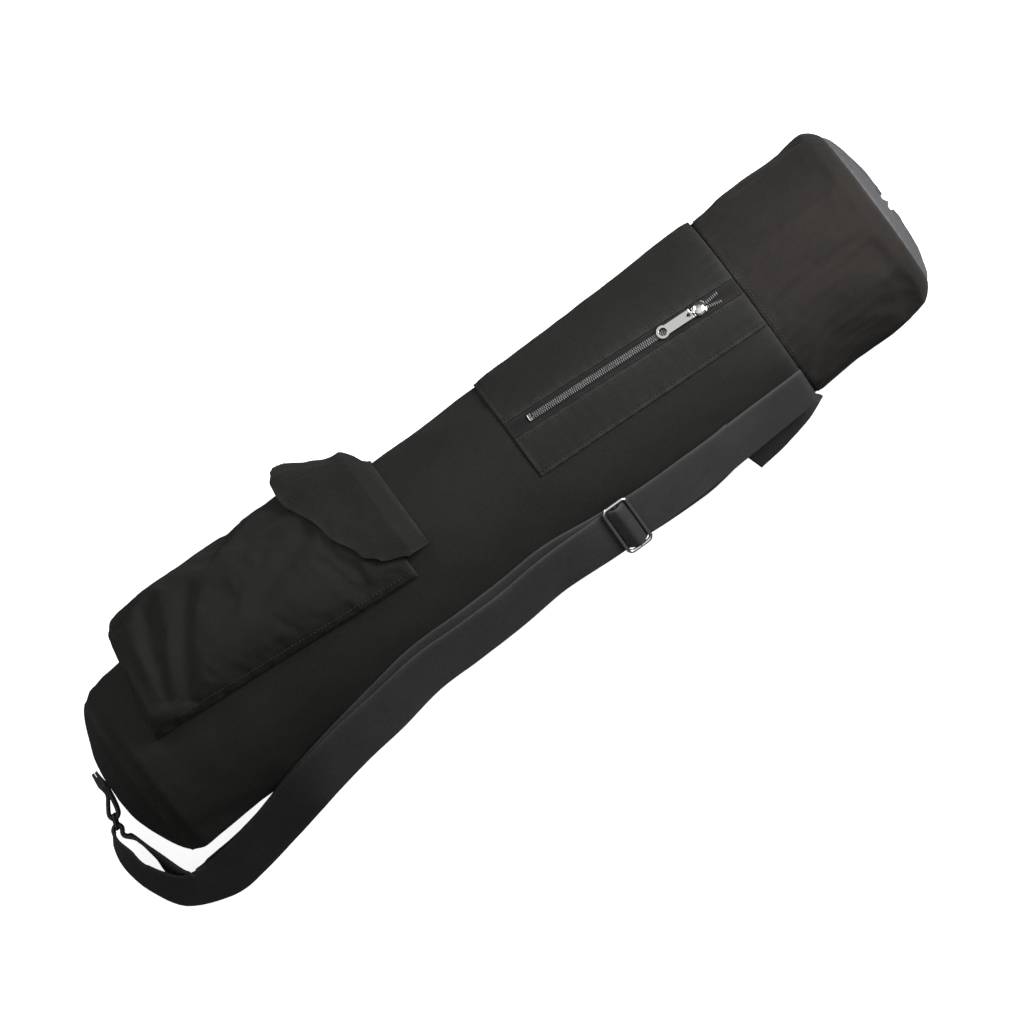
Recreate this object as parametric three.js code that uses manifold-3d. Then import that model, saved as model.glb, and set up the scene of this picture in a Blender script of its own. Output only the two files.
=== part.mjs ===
import * as THREE from "three";
import { mergeVertices } from "three/addons/utils/BufferGeometryUtils.js";
import Module from "manifold-3d";

// A stuffed canvas yoga mat bag, lying on a flat surface. Millimetres.
// X runs along the bag from its base to its mouth, +Z is up, and the pockets face +Y.
// The origin is on the flat that the bag rests on, halfway along it.
// Around is the angle in degrees round the bag from its top, towards the pockets.

// The bag's own sizes
const BAG_LENGTH = 757;
const BAG_RADIUS = 82.5;
const SEAT_DEPTH = 5;
const CANVAS = 1.6;
const BASE_DOME = 24;
const MOUTH_DOME = 29;
const COLLAR_LENGTH = 134;
const MOUTH_RADIUS = 15;

// Cargo pocket and its flap
const POCKET_LENGTH = 237;
const POCKET_MOUTH = 293;
const POCKET_DEPTH_LOW = 29.5;
const POCKET_DEPTH_MOUTH = 17.5;
const FLAP_LENGTH = 66;
const FLAP_SET_BACK = 22;

// Zip pocket
const ZIP_POCKET_LENGTH = 209;
const TAPE = 0.9;
const ZIP_WINDOW = 14;
const CHAIN_WIDTH = 6;
const CHAIN_HEIGHT = 1.5;
const CHAIN_LENGTH = 171;
const CHAIN_START = 22;
const TOOTH_PITCH = 3.6;
const SLIDER_AT = 152;
const SLIDER_RADIUS = 5.8;
const SLIDER_HEIGHT = 3.2;
const CROWN_HEIGHT = 2.8;
const PULL_LENGTH = 31;
const PULL_WIDTH = 9.6;
const PULL_THICKNESS = 1.2;
const PIN_RADIUS = 0.8;

// Shoulder strap and its metal
const WEBBING = 2.5;
const STRAP_WIDTH = 38;
const STRAP_END = 70;
const SLIDE_AT = 178;
const SLIDE_LENGTH = 24;
const WIRE = 1.5;
const RING_WIDTH = 10.6;
const TAIL_LENGTH = 70;

// Clearances: between layers of cloth, between hard pieces, and between the strap's two runs
const LAYER_GAP = 0.6;
const PIECE_GAP = 0.3;
const STRAP_GAP = 0.8;
const TURN_GAP = 0.75;

// Stations worked out from the sizes
const BASE_TIP = -BAG_LENGTH / 2;
const MOUTH_TIP = BAG_LENGTH / 2;
const BASE_SEAM = BASE_TIP + BASE_DOME;
const SHOULDER = MOUTH_TIP - MOUTH_DOME;
const COLLAR_SEAM = MOUTH_TIP - COLLAR_LENGTH;
const ZIP_HEM = COLLAR_SEAM - ZIP_POCKET_LENGTH;
const POCKET_TOP = BASE_TIP + POCKET_MOUTH;
const FLAP_HINGE = POCKET_TOP + FLAP_SET_BACK;

// How the stuffed tube swells and wanders. Along is a share of the bag's length,
// girth and aside (away from the pockets) are shares of its radius.
const TUBE_SECTIONS = [
  { along: 0.0, girth: 0.85, aside: 0.1 },
  { along: 0.031, girth: 0.857, aside: 0.096 },
  { along: 0.048, girth: 0.915, aside: 0.08 },
  { along: 0.066, girth: 0.925, aside: 0.06 },
  { along: 0.12, girth: 0.935, aside: 0.032 },
  { along: 0.17, girth: 0.955, aside: 0.03 },
  { along: 0.275, girth: 0.985, aside: 0.03 },
  { along: 0.394, girth: 1.0, aside: 0.03 },
  { along: 0.63, girth: 1.0, aside: 0.034 },
  { along: 0.71, girth: 1.0, aside: 0.022 },
  { along: 0.82, girth: 1.0, aside: -0.006 },
  { along: 0.9, girth: 0.997, aside: -0.04 },
  { along: 1.0, girth: 0.99, aside: -0.06 },
];

// Soft dents in the tube: where, how deep, how long and wide, and how far they slant.
// Along, long and wide are shares of the bag's length, deep is a share of its radius.
const TUBE_DENTS = [
  { along: 0.07, around: -38, deep: 0.034, long: 0.075, wide: 0.016, slant: 34 },
  { along: 0.1, around: -70, deep: 0.03, long: 0.06, wide: 0.02, slant: -28 },
  { along: 0.055, around: 62, deep: 0.034, long: 0.03, wide: 0.024, slant: 60 },
  { along: 0.47, around: -30, deep: 0.02, long: 0.05, wide: 0.016, slant: 40 },
  { along: 0.53, around: 66, deep: 0.024, long: 0.07, wide: 0.022, slant: -30 },
  { along: 0.6, around: -55, deep: 0.022, long: 0.06, wide: 0.02, slant: -35 },
  { along: 0.87, around: -44, deep: 0.034, long: 0.04, wide: 0.016, slant: 42 },
  { along: 0.9, around: -66, deep: 0.03, long: 0.035, wide: 0.014, slant: 20 },
  { along: 0.91, around: 48, deep: 0.024, long: 0.05, wide: 0.024, slant: -38 },
  { along: 0.985, around: -88, deep: 0.05, long: 0.03, wide: 0.045, slant: 0 },
];

// Creases pressed into the cargo pocket, from one point to another.
// Up runs from its lower edge to its mouth, across from the near seam to the far one.
const POCKET_CREASES = [
  { up: 0.05, across: 0.12, toUp: 0.06, toAcross: 0.6, deep: 0.2, wide: 0.03 },
  { up: 0.1, across: 0.1, toUp: 0.2, toAcross: 0.52, deep: 0.26, wide: 0.035 },
  { up: 0.16, across: 0.06, toUp: 0.34, toAcross: 0.44, deep: 0.24, wide: 0.035 },
  { up: 0.52, across: 0.22, toUp: 0.84, toAcross: 0.38, deep: 0.24, wide: 0.045 },
  { up: 0.6, across: 0.5, toUp: 0.82, toAcross: 0.5, deep: 0.16, wide: 0.045 },
];

// The strap's way along the side of the bag. Along is a share of the tube from its base seam,
// edge the angle round the bag where the lower run's inner edge rests, tilt its fall outwards.
// The upper run lies slip (a share of its width) further out, and stack says how far on top.
const FLANK_ROUTE = [
  { along: 0.0, edge: 78, tilt: 22, slip: 0.02, stack: 1 },
  { along: 0.175, edge: 62.2, tilt: 20, slip: 0.02, stack: 1 },
  { along: 0.233, edge: 50.6, tilt: 19, slip: 0.05, stack: 1 },
  { along: 0.295, edge: 42.9, tilt: 21, slip: 0.12, stack: 1 },
  { along: 0.392, edge: 36.4, tilt: 30, slip: 0.17, stack: 1 },
  { along: 0.492, edge: 36.5, tilt: 35, slip: 0.2, stack: 1 },
  { along: 0.592, edge: 34.4, tilt: 36, slip: 0.17, stack: 1 },
  { along: 0.7, edge: 39.3, tilt: 27, slip: 0.0, stack: 1 },
  { along: 0.789, edge: 44.8, tilt: 29, slip: -0.12, stack: 1 },
  { along: 0.866, edge: 42.1, tilt: 36, slip: -0.02, stack: 1 },
  { along: 0.885, edge: 42.4, tilt: 38, slip: 0.0, stack: 0.8 },
  { along: 0.93, edge: 43.9, tilt: 40, slip: 0.0, stack: 0.2 },
  { along: 1.0, edge: 45, tilt: 42, slip: 0.0, stack: 0 },
];

// The strap past the bag's side: past the base's tip, out from the bag's axis and up off the
// surface it lies on, as shares of the bag's radius. Turn is 0 where it is flat, 90 on edge.
const INNER_RUN = [
  { past: -1.073, out: 1.236, up: 0.852, turn: 22 },
  { past: -0.612, out: 1.3, up: 0.5, turn: 27 },
  { past: -0.33, out: 1.3, up: 0.242, turn: 40 },
  { past: -0.08, out: 1.19, up: 0.222, turn: 60 },
  { past: -0.035, out: 1.05, up: 0.27, turn: 72 },
  { past: -0.008, out: 0.9, up: 0.34, turn: 80 },
  { past: 0.041, out: 0.69, up: 0.41, turn: 86 },
  { past: 0.088, out: 0.54, up: 0.478, turn: 90 },
];
const OUTER_RUN = [
  { past: 0.241, out: 0.558, up: 0.46, turn: 104 },
  { past: 0.247, out: 0.764, up: 0.34, turn: 112 },
  { past: 0.172, out: 1.0, up: 0.25, turn: 120 },
  { past: 0.0145, out: 1.229, up: 0.24, turn: 131 },
  { past: -0.304, out: 1.336, up: 0.303, turn: 145 },
  { past: -0.612, out: 1.32, up: 0.558, turn: 155 },
  { past: -1.073, out: 1.238, up: 0.897, turn: 158 },
];

// The seam tail, hanging from the collar seam: back is a share of its length,
// out and up are shares of the bag's radius.
const TAIL_ROUTE = [
  { back: 0.0, out: 0.99, up: 1.2, turn: 75 },
  { back: 0.25, out: 1.05, up: 1.165, turn: 68 },
  { back: 0.6, out: 1.095, up: 1.12, turn: 63 },
  { back: 0.85, out: 1.115, up: 1.08, turn: 61 },
  { back: 1.0, out: 1.125, up: 1.06, turn: 60 },
];

const sine = (degrees) => Math.sin(THREE.MathUtils.degToRad(degrees));
const cosine = (degrees) => Math.cos(THREE.MathUtils.degToRad(degrees));
const mix = THREE.MathUtils.lerp;
const share = (value, from, to) => THREE.MathUtils.clamp((value - from) / (to - from), 0, 1);
const eased = (t) => t * t * (3 - 2 * t);

// Reads one column of a table at a place along it, with an easy change between rows
function readTable(rows, key, column, at) {
  const last = rows.findIndex((row) => row[key] > at);
  if (last === 0) return rows[0][column];
  if (last < 0) return rows[rows.length - 1][column];
  const [before, after] = [rows[last - 1], rows[last]];
  return mix(before[column], after[column], eased(share(at, before[key], after[key])));
}

function girthAt(x) {
  return BAG_RADIUS * readTable(TUBE_SECTIONS, "along", "girth", (x - BASE_TIP) / BAG_LENGTH);
}

function axisAt(x) {
  const aside = BAG_RADIUS * readTable(TUBE_SECTIONS, "along", "aside", (x - BASE_TIP) / BAG_LENGTH);
  return new THREE.Vector3(x, -aside, girthAt(x) - SEAT_DEPTH);
}

function dentAt(x, around) {
  let depth = 0;
  for (const dent of TUBE_DENTS) {
    const along = (x - BASE_TIP) / BAG_LENGTH - dent.along;
    const round = (THREE.MathUtils.degToRad(around - dent.around) * BAG_RADIUS) / BAG_LENGTH;
    const down = (along * cosine(dent.slant) + round * sine(dent.slant)) / dent.long;
    const over = (round * cosine(dent.slant) - along * sine(dent.slant)) / dent.wide;
    depth += dent.deep * BAG_RADIUS * Math.exp(-(down ** 2) - over ** 2);
  }
  return depth;
}

// A point on the bag's skin, lifted off it, and flat where the bag rests
function skin(x, around, lift = 0) {
  const reach = girthAt(x) + lift - dentAt(x, around);
  const point = axisAt(x);
  point.y += reach * sine(around);
  point.z = Math.max(point.z + reach * cosine(around), 0);
  return point;
}

// The angle round the bag of a line that runs straight along its top side
const aroundAt = (x, y) => THREE.MathUtils.radToDeg(Math.asin((y - axisAt(x).y) / girthAt(x)));

const wasm = await Module();
wasm.setup();

// Welds a geometry's corners, drops faces that closed up, and turns its faces outwards
function welded(geometry) {
  geometry.deleteAttribute("normal");
  geometry.deleteAttribute("uv");
  const merged = mergeVertices(geometry, 1e-4);
  const corners = merged.index.array;
  const kept = [];
  for (let i = 0; i < corners.length; i += 3) {
    const [a, b, c] = corners.slice(i, i + 3);
    if (a !== b && b !== c && c !== a) kept.push(a, b, c);
  }
  const points = merged.attributes.position;
  const [p, q, r] = [new THREE.Vector3(), new THREE.Vector3(), new THREE.Vector3()];
  let volume = 0;
  for (let i = 0; i < kept.length; i += 3) {
    p.fromBufferAttribute(points, kept[i]);
    q.fromBufferAttribute(points, kept[i + 1]);
    r.fromBufferAttribute(points, kept[i + 2]);
    volume += p.dot(q.cross(r));
  }
  merged.setIndex(volume < 0 ? kept.reverse() : kept);
  return merged;
}

// Moves every point of a geometry by a rule
function bent(geometry, rule) {
  const points = geometry.attributes.position;
  const point = new THREE.Vector3();
  for (let i = 0; i < points.count; i += 1) {
    point.fromBufferAttribute(points, i);
    const moved = rule(point);
    points.setXYZ(i, moved.x, moved.y, moved.z);
  }
  return welded(geometry);
}

// Joins closed geometries into one solid
function joined(...geometries) {
  const solids = geometries.map((geometry) => {
    const whole = welded(geometry);
    const mesh = { numProp: 3, vertProperties: whole.attributes.position.array };
    return new wasm.Manifold(new wasm.Mesh({ ...mesh, triVerts: Uint32Array.from(whole.index.array) }));
  });
  const mesh = solids.reduce((all, solid) => all.add(solid)).getMesh();
  const geometry = new THREE.BufferGeometry();
  geometry.setAttribute("position", new THREE.BufferAttribute(mesh.vertProperties, 3));
  geometry.setIndex([...mesh.triVerts]);
  return geometry;
}

// A wall turned round the bag's axis. Each profile point is a share of the radius and a place in X.
function turned(profile, sides, pleat = () => 0) {
  const outline = profile.map(([out, x]) => new THREE.Vector2(out, x));
  return bent(new THREE.LatheGeometry(outline, sides), (point) => {
    const out = Math.hypot(point.x, point.z);
    const around = THREE.MathUtils.radToDeg(Math.atan2(point.x, point.z));
    const rim = skin(point.y, around);
    const centre = axisAt(point.y);
    const turnedPoint = rim.sub(centre).multiplyScalar(out).add(centre);
    turnedPoint.x += pleat(out, around);
    return turnedPoint;
  });
}

// A cut piece of cloth, split at the stops along and across, then laid in place by a rule
function cutCloth(along, across, rule) {
  const flat = new THREE.BoxGeometry(1, 1, 1, along.length - 1, across.length - 1, 1);
  return bent(flat, (point) => {
    const i = Math.round((point.x + 0.5) * (along.length - 1));
    const j = Math.round((point.y + 0.5) * (across.length - 1));
    return rule(along[i], across[j], point.z > 0);
  });
}

// Evenly spaced stops from one value to another, no further apart than a step
function stops(from, to, step) {
  const count = Math.max(1, Math.ceil(Math.abs(to - from) / step - 1e-6));
  return Array.from({ length: count + 1 }, (_, i) => mix(from, to, i / count));
}

const canvas = new THREE.MeshStandardMaterial({ color: 0x2e2b28, roughness: 0.92, metalness: 0 });
const webbing = new THREE.MeshStandardMaterial({ color: 0x3b3a39, roughness: 0.9, metalness: 0 });
const tapeCloth = new THREE.MeshStandardMaterial({ color: 0x232220, roughness: 0.85, metalness: 0 });
const coil = new THREE.MeshStandardMaterial({ color: 0x6d6f6c, roughness: 0.55, metalness: 0 });
const nickel = new THREE.MeshStandardMaterial({ color: 0xd9d9d6, roughness: 0.25, metalness: 1 });
const blackWire = new THREE.MeshStandardMaterial({ color: 0x1c1c1d, roughness: 0.45, metalness: 0.6 });

const bag = new THREE.Group();

function add(name, geometry, material, parent = bag) {
  geometry.computeVertexNormals();
  const mesh = new THREE.Mesh(geometry, material);
  mesh.name = name;
  parent.add(mesh);
  return mesh;
}

// Tube, base and collar: one sleeve of canvas, a domed base set into it, a collar sewn on
const TUBE_SIDES = 36;
const TUBE_STEP = 29;
const domed = (out, power) => (1 - Math.min(out, 1) ** power) ** (1 / power);
const innerShare = (x) => 1 - CANVAS / girthAt(x);

function sleeve(places) {
  const outside = places.map((x) => [1, x]);
  const inside = places.map((x) => [innerShare(x), x]).reverse();
  return [...outside, ...inside, outside[0]];
}

const tubeStart = BASE_SEAM + PIECE_GAP;
const tubePlaces = [tubeStart, ...stops(tubeStart + TUBE_STEP / 2, COLLAR_SEAM, TUBE_STEP)];
add("tube", turned(sleeve(tubePlaces), TUBE_SIDES), canvas);

const BASE_ROUNDNESS = 0.9;
const baseDomed = (out) => (1 - out ** 2) ** BASE_ROUNDNESS;
const BASE_RINGS = [0, 0.36, 0.66, 0.86, 0.96, 1];
const baseOutside = BASE_RINGS.map((out) => [out, BASE_SEAM - BASE_DOME * baseDomed(out)]);
const baseInside = BASE_RINGS.map((out) => [
  out * innerShare(BASE_SEAM),
  BASE_SEAM - (BASE_DOME - CANVAS) * baseDomed(out),
]);
add("base_panel", turned([...baseOutside, ...baseInside.reverse()], TUBE_SIDES), canvas);

const PLEATS = 12;
const COLLAR_SIDES = PLEATS * 4;
const MOUTH_POWER = 2.6;
const COLLAR_EDGE = 0.9;
const mouthOutside = (out) => [out, SHOULDER + MOUTH_DOME * domed(out, MOUTH_POWER)];
const mouthInside = (out) => {
  const edge = share(out, COLLAR_EDGE, 1);
  return [out - (1 - innerShare(SHOULDER)) * edge, mouthOutside(out)[1] - CANVAS * (1 - edge)];
};
const collarRings = [1, 0.985, 0.95, COLLAR_EDGE];
const collarSleeve = sleeve(stops(COLLAR_SEAM + PIECE_GAP, SHOULDER, TUBE_STEP));
const halfSleeve = (collarSleeve.length - 1) / 2;
add("collar", turned([
  ...collarSleeve.slice(0, halfSleeve - 1),
  ...collarRings.map(mouthOutside),
  ...collarRings.map(mouthInside).reverse(),
  ...collarSleeve.slice(halfSleeve + 1),
], COLLAR_SIDES), canvas);

// Gathered end: pleats that deepen towards the small mouth left open in the middle
const PLEAT_DEPTH = 2.6;
const gatherRim = COLLAR_EDGE - PIECE_GAP / BAG_RADIUS;
const gatherRings = [gatherRim, 0.76, 0.56, 0.36, MOUTH_RADIUS / BAG_RADIUS];
const pleat = (out, around) => {
  const pull = share(out, gatherRim, MOUTH_RADIUS / BAG_RADIUS);
  return PLEAT_DEPTH * (1 - 0.35 * pull) * eased(pull) * (cosine(around * PLEATS) - 1);
};
add("mouth_gather", turned([
  ...gatherRings.map(mouthOutside),
  ...gatherRings.map((out) => [out, mouthOutside(out)[1] - CANVAS]).reverse(),
  mouthOutside(gatherRings[0]),
], COLLAR_SIDES, pleat), canvas);

// Cargo pocket: a deep patch, open at its top under the flap
const POCKET_NEAR_LOW = 6;
const POCKET_NEAR_HIGH = -12;
const POCKET_FAR = 125;
const POCKET_CORNER = 0.1;
const GUSSET_UP_NEAR = 0.16;
const GUSSET_UP_FAR = 0.055;
const GUSSET_ACROSS_NEAR = 0.36;
const GUSSET_ACROSS_FAR = 0.15;
const SOFT_SHARE = 0.6;
const BULGE_POWER = 2.5;
const POCKET_LOW = POCKET_TOP - POCKET_LENGTH;
const swollen = (t, rise) => (1 - (1 - share(t, 0, rise)) ** BULGE_POWER) ** (1 / BULGE_POWER);

function nearSeam(x) {
  const y = mix(POCKET_NEAR_LOW, POCKET_NEAR_HIGH, (x - POCKET_LOW) / POCKET_LENGTH);
  return aroundAt(x, y);
}

const pocketDepth = (x) => mix(POCKET_DEPTH_LOW, POCKET_DEPTH_MOUTH, share(x, POCKET_LOW, POCKET_TOP));
const sideRise = (across) =>
  swollen(across, GUSSET_ACROSS_NEAR) * swollen(1 - across, GUSSET_ACROSS_FAR);

function creaseAt(up, across) {
  let depth = 0;
  for (const crease of POCKET_CREASES) {
    const [runUp, runAcross] = [crease.toUp - crease.up, crease.toAcross - crease.across];
    const length = runUp ** 2 + runAcross ** 2;
    const run = ((up - crease.up) * runUp + (across - crease.across) * runAcross) / length;
    const t = THREE.MathUtils.clamp(run, 0, 1);
    const off = Math.hypot(up - crease.up - t * runUp, across - crease.across - t * runAcross);
    depth += crease.deep * Math.exp(-((off / crease.wide) ** 2));
  }
  return Math.min(depth, 0.5);
}

function pocketLift(x, up, across, inset = 0) {
  const gusset = mix(GUSSET_UP_NEAR, GUSSET_UP_FAR, share(across, 0, SOFT_SHARE));
  const rise = swollen(up, gusset) * sideRise(across);
  return LAYER_GAP + (pocketDepth(x) - inset) * rise * (1 - creaseAt(up, across));
}

function pocketPoint(up, across, outer) {
  const wall = outer ? 0 : CANVAS;
  const arc = THREE.MathUtils.degToRad(POCKET_FAR) * BAG_RADIUS;
  const upIn = mix(wall / POCKET_LENGTH, 1, up);
  const acrossIn = mix(wall / arc, 1 - wall / arc, across);
  const low = POCKET_LOW + POCKET_CORNER * POCKET_LENGTH * acrossIn;
  const x = mix(low, POCKET_TOP, upIn);
  return skin(x, mix(nearSeam(x), POCKET_FAR, acrossIn), pocketLift(x, up, across, wall));
}

const POCKET_UPS = [0, 0.02, 0.055, 0.1, 0.15, 0.21, 0.28, 0.36, 0.45, 0.54, 0.63, 0.72, 0.82, 0.91, 1];
const POCKET_ACROSSES = [0, 0.02, 0.06, 0.12, 0.19, 0.27, 0.35, 0.43, 0.52, 0.62, 0.72, 0.82, 0.92, 0.98, 1];
add("cargo_pocket", cutCloth(POCKET_UPS, POCKET_ACROSSES, pocketPoint), canvas);

// Flap: sewn to the tube above the pocket, over its mouth, its far corner standing off
const FLAP_NEAR = 3;
const FLAP_FREE_FROM = 46;
const FLAP_FREE = 0.47;
const FLAP_SPRING_FROM = 0.25;
const FLAP_OVERLAP = 4;
// How long the flap is cut at each place across it, as a share of its length
const FLAP_CUT = [
  { across: 0.0, length: 0.3 },
  { across: 0.05, length: 0.6 },
  { across: 0.1, length: 0.75 },
  { across: 0.25, length: 0.93 },
  { across: 0.53, length: 1.14 },
  { across: 0.65, length: 1.12 },
  { across: 0.75, length: 1.05 },
  { across: 0.87, length: 0.97 },
  { across: 1.0, length: 0.84 },
];

function flapPoint(down, across, outer) {
  const away = down * FLAP_LENGTH * readTable(FLAP_CUT, "across", "length", across);
  const x = FLAP_HINGE - away;
  const around = mix(aroundAt(x, FLAP_NEAR), POCKET_FAR, across);
  const over = eased(share(away, 0, FLAP_SET_BACK * 0.8));
  const crown = pocketDepth(x) * sideRise(share(around, nearSeam(x) - FLAP_OVERLAP, POCKET_FAR + FLAP_OVERLAP));
  const lift = LAYER_GAP + over * (crown + LAYER_GAP * 3) + (outer ? CANVAS : 0);
  const held = skin(x, around, lift);
  if (around < FLAP_FREE_FROM) return held;
  const leave = skin(x, FLAP_FREE_FROM, lift);
  const run = THREE.MathUtils.degToRad(around - FLAP_FREE_FROM) * (BAG_RADIUS + lift);
  leave.y += run * cosine(FLAP_FREE_FROM);
  leave.z -= run * sine(FLAP_FREE_FROM);
  return held.lerp(leave, FLAP_FREE * eased(share(away / FLAP_LENGTH, FLAP_SPRING_FROM, 1)));
}

add("pocket_flap", cutCloth(stops(0, 1, 0.11), stops(0, 1, 0.08), flapPoint), canvas);

// Zip pocket: a flat patch in two panels, with the zip in the slot between them
const ZIP_LINE_LOW = 35;
const ZIP_LINE_HIGH = 21;
const ZIP_EDGE_LOW = -7;
const ZIP_EDGE_HIGH = -16;
const ZIP_FAR = 122;
const zipShare = (x) => (x - ZIP_HEM) / ZIP_POCKET_LENGTH;
const zipLine = (x) => mix(ZIP_LINE_LOW, ZIP_LINE_HIGH, zipShare(x));
const patchEnd = COLLAR_SEAM - PIECE_GAP;

function patch(nearEdge, farEdge, thickness, step, ends = [ZIP_HEM, patchEnd]) {
  return cutCloth(stops(ends[0], ends[1], TUBE_STEP), stops(0, 1, step), (x, across, outer) => {
    const around = mix(nearEdge(x), farEdge(x), across);
    return skin(x, around, LAYER_GAP + (outer ? thickness : 0));
  });
}

const windowNear = (x) => aroundAt(x, zipLine(x) - ZIP_WINDOW / 2);
const windowFar = (x) => aroundAt(x, zipLine(x) + ZIP_WINDOW / 2);
const zipEdge = (x) => aroundAt(x, mix(ZIP_EDGE_LOW, ZIP_EDGE_HIGH, zipShare(x)));
const slack = THREE.MathUtils.radToDeg(PIECE_GAP / BAG_RADIUS);
add("zip_facing", patch(zipEdge, windowNear, CANVAS, 0.34), canvas);
add("zip_pocket", patch(windowFar, () => ZIP_FAR, CANVAS, 0.09), canvas);
add("zip_tape", patch((x) => windowNear(x) + slack, (x) => windowFar(x) - slack, TAPE, 0.5), tapeCloth);

// Where something stands on the zip's line, with its own X along the zip
function onZip(x, lift) {
  const ahead = skin(x + 5, aroundAt(x + 5, zipLine(x + 5)));
  const behind = skin(x - 5, aroundAt(x - 5, zipLine(x - 5)));
  const around = aroundAt(x, zipLine(x));
  const along = ahead.sub(behind).normalize();
  const out = new THREE.Vector3(0, sine(around), cosine(around));
  const side = out.clone().cross(along).normalize();
  const up = along.clone().cross(side);
  const group = new THREE.Group();
  group.setRotationFromMatrix(new THREE.Matrix4().makeBasis(along, side, up));
  group.position.copy(skin(x, around, lift));
  return group;
}

// Coil chain: a low ridge with a tooth at every pitch, closed from the base end to the slider
const chainStart = ZIP_HEM + CHAIN_START;
const chainLift = LAYER_GAP + TAPE + PIECE_GAP;
const sliderAt = chainStart + SLIDER_AT;
const chainEnd = sliderAt - SLIDER_RADIUS - PIECE_GAP;
const teeth = stops(chainStart, chainEnd, TOOTH_PITCH / 2);
add("zip_chain", cutCloth(teeth, [-1, 1], (x, side, outer) => {
  const dip = Math.round((x - chainStart) / (TOOTH_PITCH / 2)) % 2 ? 0.35 : 0;
  const y = zipLine(x) + (side * (CHAIN_WIDTH - dip)) / 2;
  return skin(x, aroundAt(x, y), chainLift + (outer ? CHAIN_HEIGHT - dip : 0));
}), coil);

// Past the slider the two rows of teeth part
const openEnd = chainStart + CHAIN_LENGTH;
const openStart = sliderAt + SLIDER_RADIUS + PIECE_GAP;
for (const [name, sign] of [["zip_row_near", -1], ["zip_row_far", 1]]) {
  add(name, cutCloth(stops(openStart, openEnd, TOOTH_PITCH), [-1, 1], (x, side, outer) => {
    const spread = mix(CHAIN_WIDTH / 4 + 0.4, CHAIN_WIDTH * 0.62, share(x, openStart, openEnd));
    const y = zipLine(x) + sign * spread + (side * CHAIN_WIDTH) / 5;
    return skin(x, aroundAt(x, y), chainLift + (outer ? CHAIN_HEIGHT : 0));
  }), coil);
}

// End stop: a small metal clip over the chain at the base end
const STOP_LENGTH = 3;
const stopGroup = onZip(chainStart - STOP_LENGTH / 2 - PIECE_GAP, chainLift + CHAIN_HEIGHT / 2);
bag.add(stopGroup);
add("zip_stop", new THREE.BoxGeometry(STOP_LENGTH, CHAIN_WIDTH, CHAIN_HEIGHT), nickel, stopGroup);

// Slider: a body that straddles the chain, a round crown, and a lug that holds the pull
const sliderGroup = onZip(sliderAt, chainLift);
bag.add(sliderGroup);
const sliderOutline = new THREE.Shape();
sliderOutline.moveTo(-SLIDER_RADIUS, -SLIDER_RADIUS * 0.62);
sliderOutline.lineTo(SLIDER_RADIUS * 0.7, -SLIDER_RADIUS * 0.86);
sliderOutline.lineTo(SLIDER_RADIUS, -SLIDER_RADIUS * 0.5);
sliderOutline.lineTo(SLIDER_RADIUS, SLIDER_RADIUS * 0.5);
sliderOutline.lineTo(SLIDER_RADIUS * 0.7, SLIDER_RADIUS * 0.86);
sliderOutline.lineTo(-SLIDER_RADIUS, SLIDER_RADIUS * 0.62);
const sliderBody = new THREE.ExtrudeGeometry(sliderOutline, { depth: SLIDER_HEIGHT, bevelEnabled: false });
const crownRise = [1, 0.94, 0.74, 0.42];
const crownOutline = [
  new THREE.Vector2(0, SLIDER_HEIGHT / 2),
  new THREE.Vector2(SLIDER_RADIUS, SLIDER_HEIGHT / 2),
  ...crownRise.map((out) => new THREE.Vector2(
    SLIDER_RADIUS * out,
    SLIDER_HEIGHT + CROWN_HEIGHT * Math.sqrt(1 - out ** 2),
  )),
  new THREE.Vector2(0, SLIDER_HEIGHT + CROWN_HEIGHT),
];
const crown = new THREE.LatheGeometry(crownOutline, 24).rotateX(Math.PI / 2);
const PIN_CLEARANCE = 0.3;
const LUG_WALL = 1;
const LUG_WIDTH = 1.8;
const eyeRadius = PIN_RADIUS + PIN_CLEARANCE;
const lugRadius = eyeRadius + LUG_WALL;
const pinX = -(SLIDER_RADIUS + lugRadius - LUG_WALL / 2);
const pinZ = CHAIN_HEIGHT + PIECE_GAP + lugRadius;
const lugOutline = new THREE.Shape().absarc(0, 0, lugRadius, 0, 2 * Math.PI);
lugOutline.holes.push(new THREE.Path().absarc(0, 0, eyeRadius, 0, 2 * Math.PI));
const lugForm = { depth: LUG_WIDTH, bevelEnabled: false, curveSegments: 12 };
const lug = new THREE.ExtrudeGeometry(lugOutline, lugForm);
lug.translate(0, 0, -LUG_WIDTH / 2).rotateX(Math.PI / 2).translate(pinX, 0, pinZ);
add("zip_slider", joined(sliderBody, crown, lug), nickel, sliderGroup);

// Pull: a flat plate with a pin through the lug, a three-sided gap and a round hole.
// It lies along the closed chain at rest and swings up about its pin.
const pullGroup = new THREE.Group();
pullGroup.position.set(pinX, 0, pinZ);
pullGroup.rotation.y = -Math.asin((lugRadius - PULL_THICKNESS / 2) / PULL_LENGTH);
sliderGroup.add(pullGroup);
const plate = new THREE.Shape();
const TIP_RADIUS = PULL_WIDTH * 0.55;
const TIP_HOLE = TIP_RADIUS * 0.62;
const NECK = PULL_WIDTH * 0.42;
const ARM_START = lugRadius * 0.55;
const GAP_HALF = LUG_WIDTH / 2 + 0.7;
const GAP_END = lugRadius + 2.4;
const tipX = -(PULL_LENGTH - TIP_RADIUS);
const tipTurn = Math.asin(NECK / TIP_RADIUS);
plate.moveTo(0, -NECK);
plate.lineTo(tipX + TIP_RADIUS * Math.cos(tipTurn), -NECK);
plate.absarc(tipX, 0, TIP_RADIUS, -tipTurn, tipTurn, true);
plate.lineTo(0, NECK);
plate.lineTo(0, GAP_HALF);
plate.lineTo(-lugRadius - PIN_CLEARANCE, GAP_HALF);
plate.lineTo(-GAP_END, 0);
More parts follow.
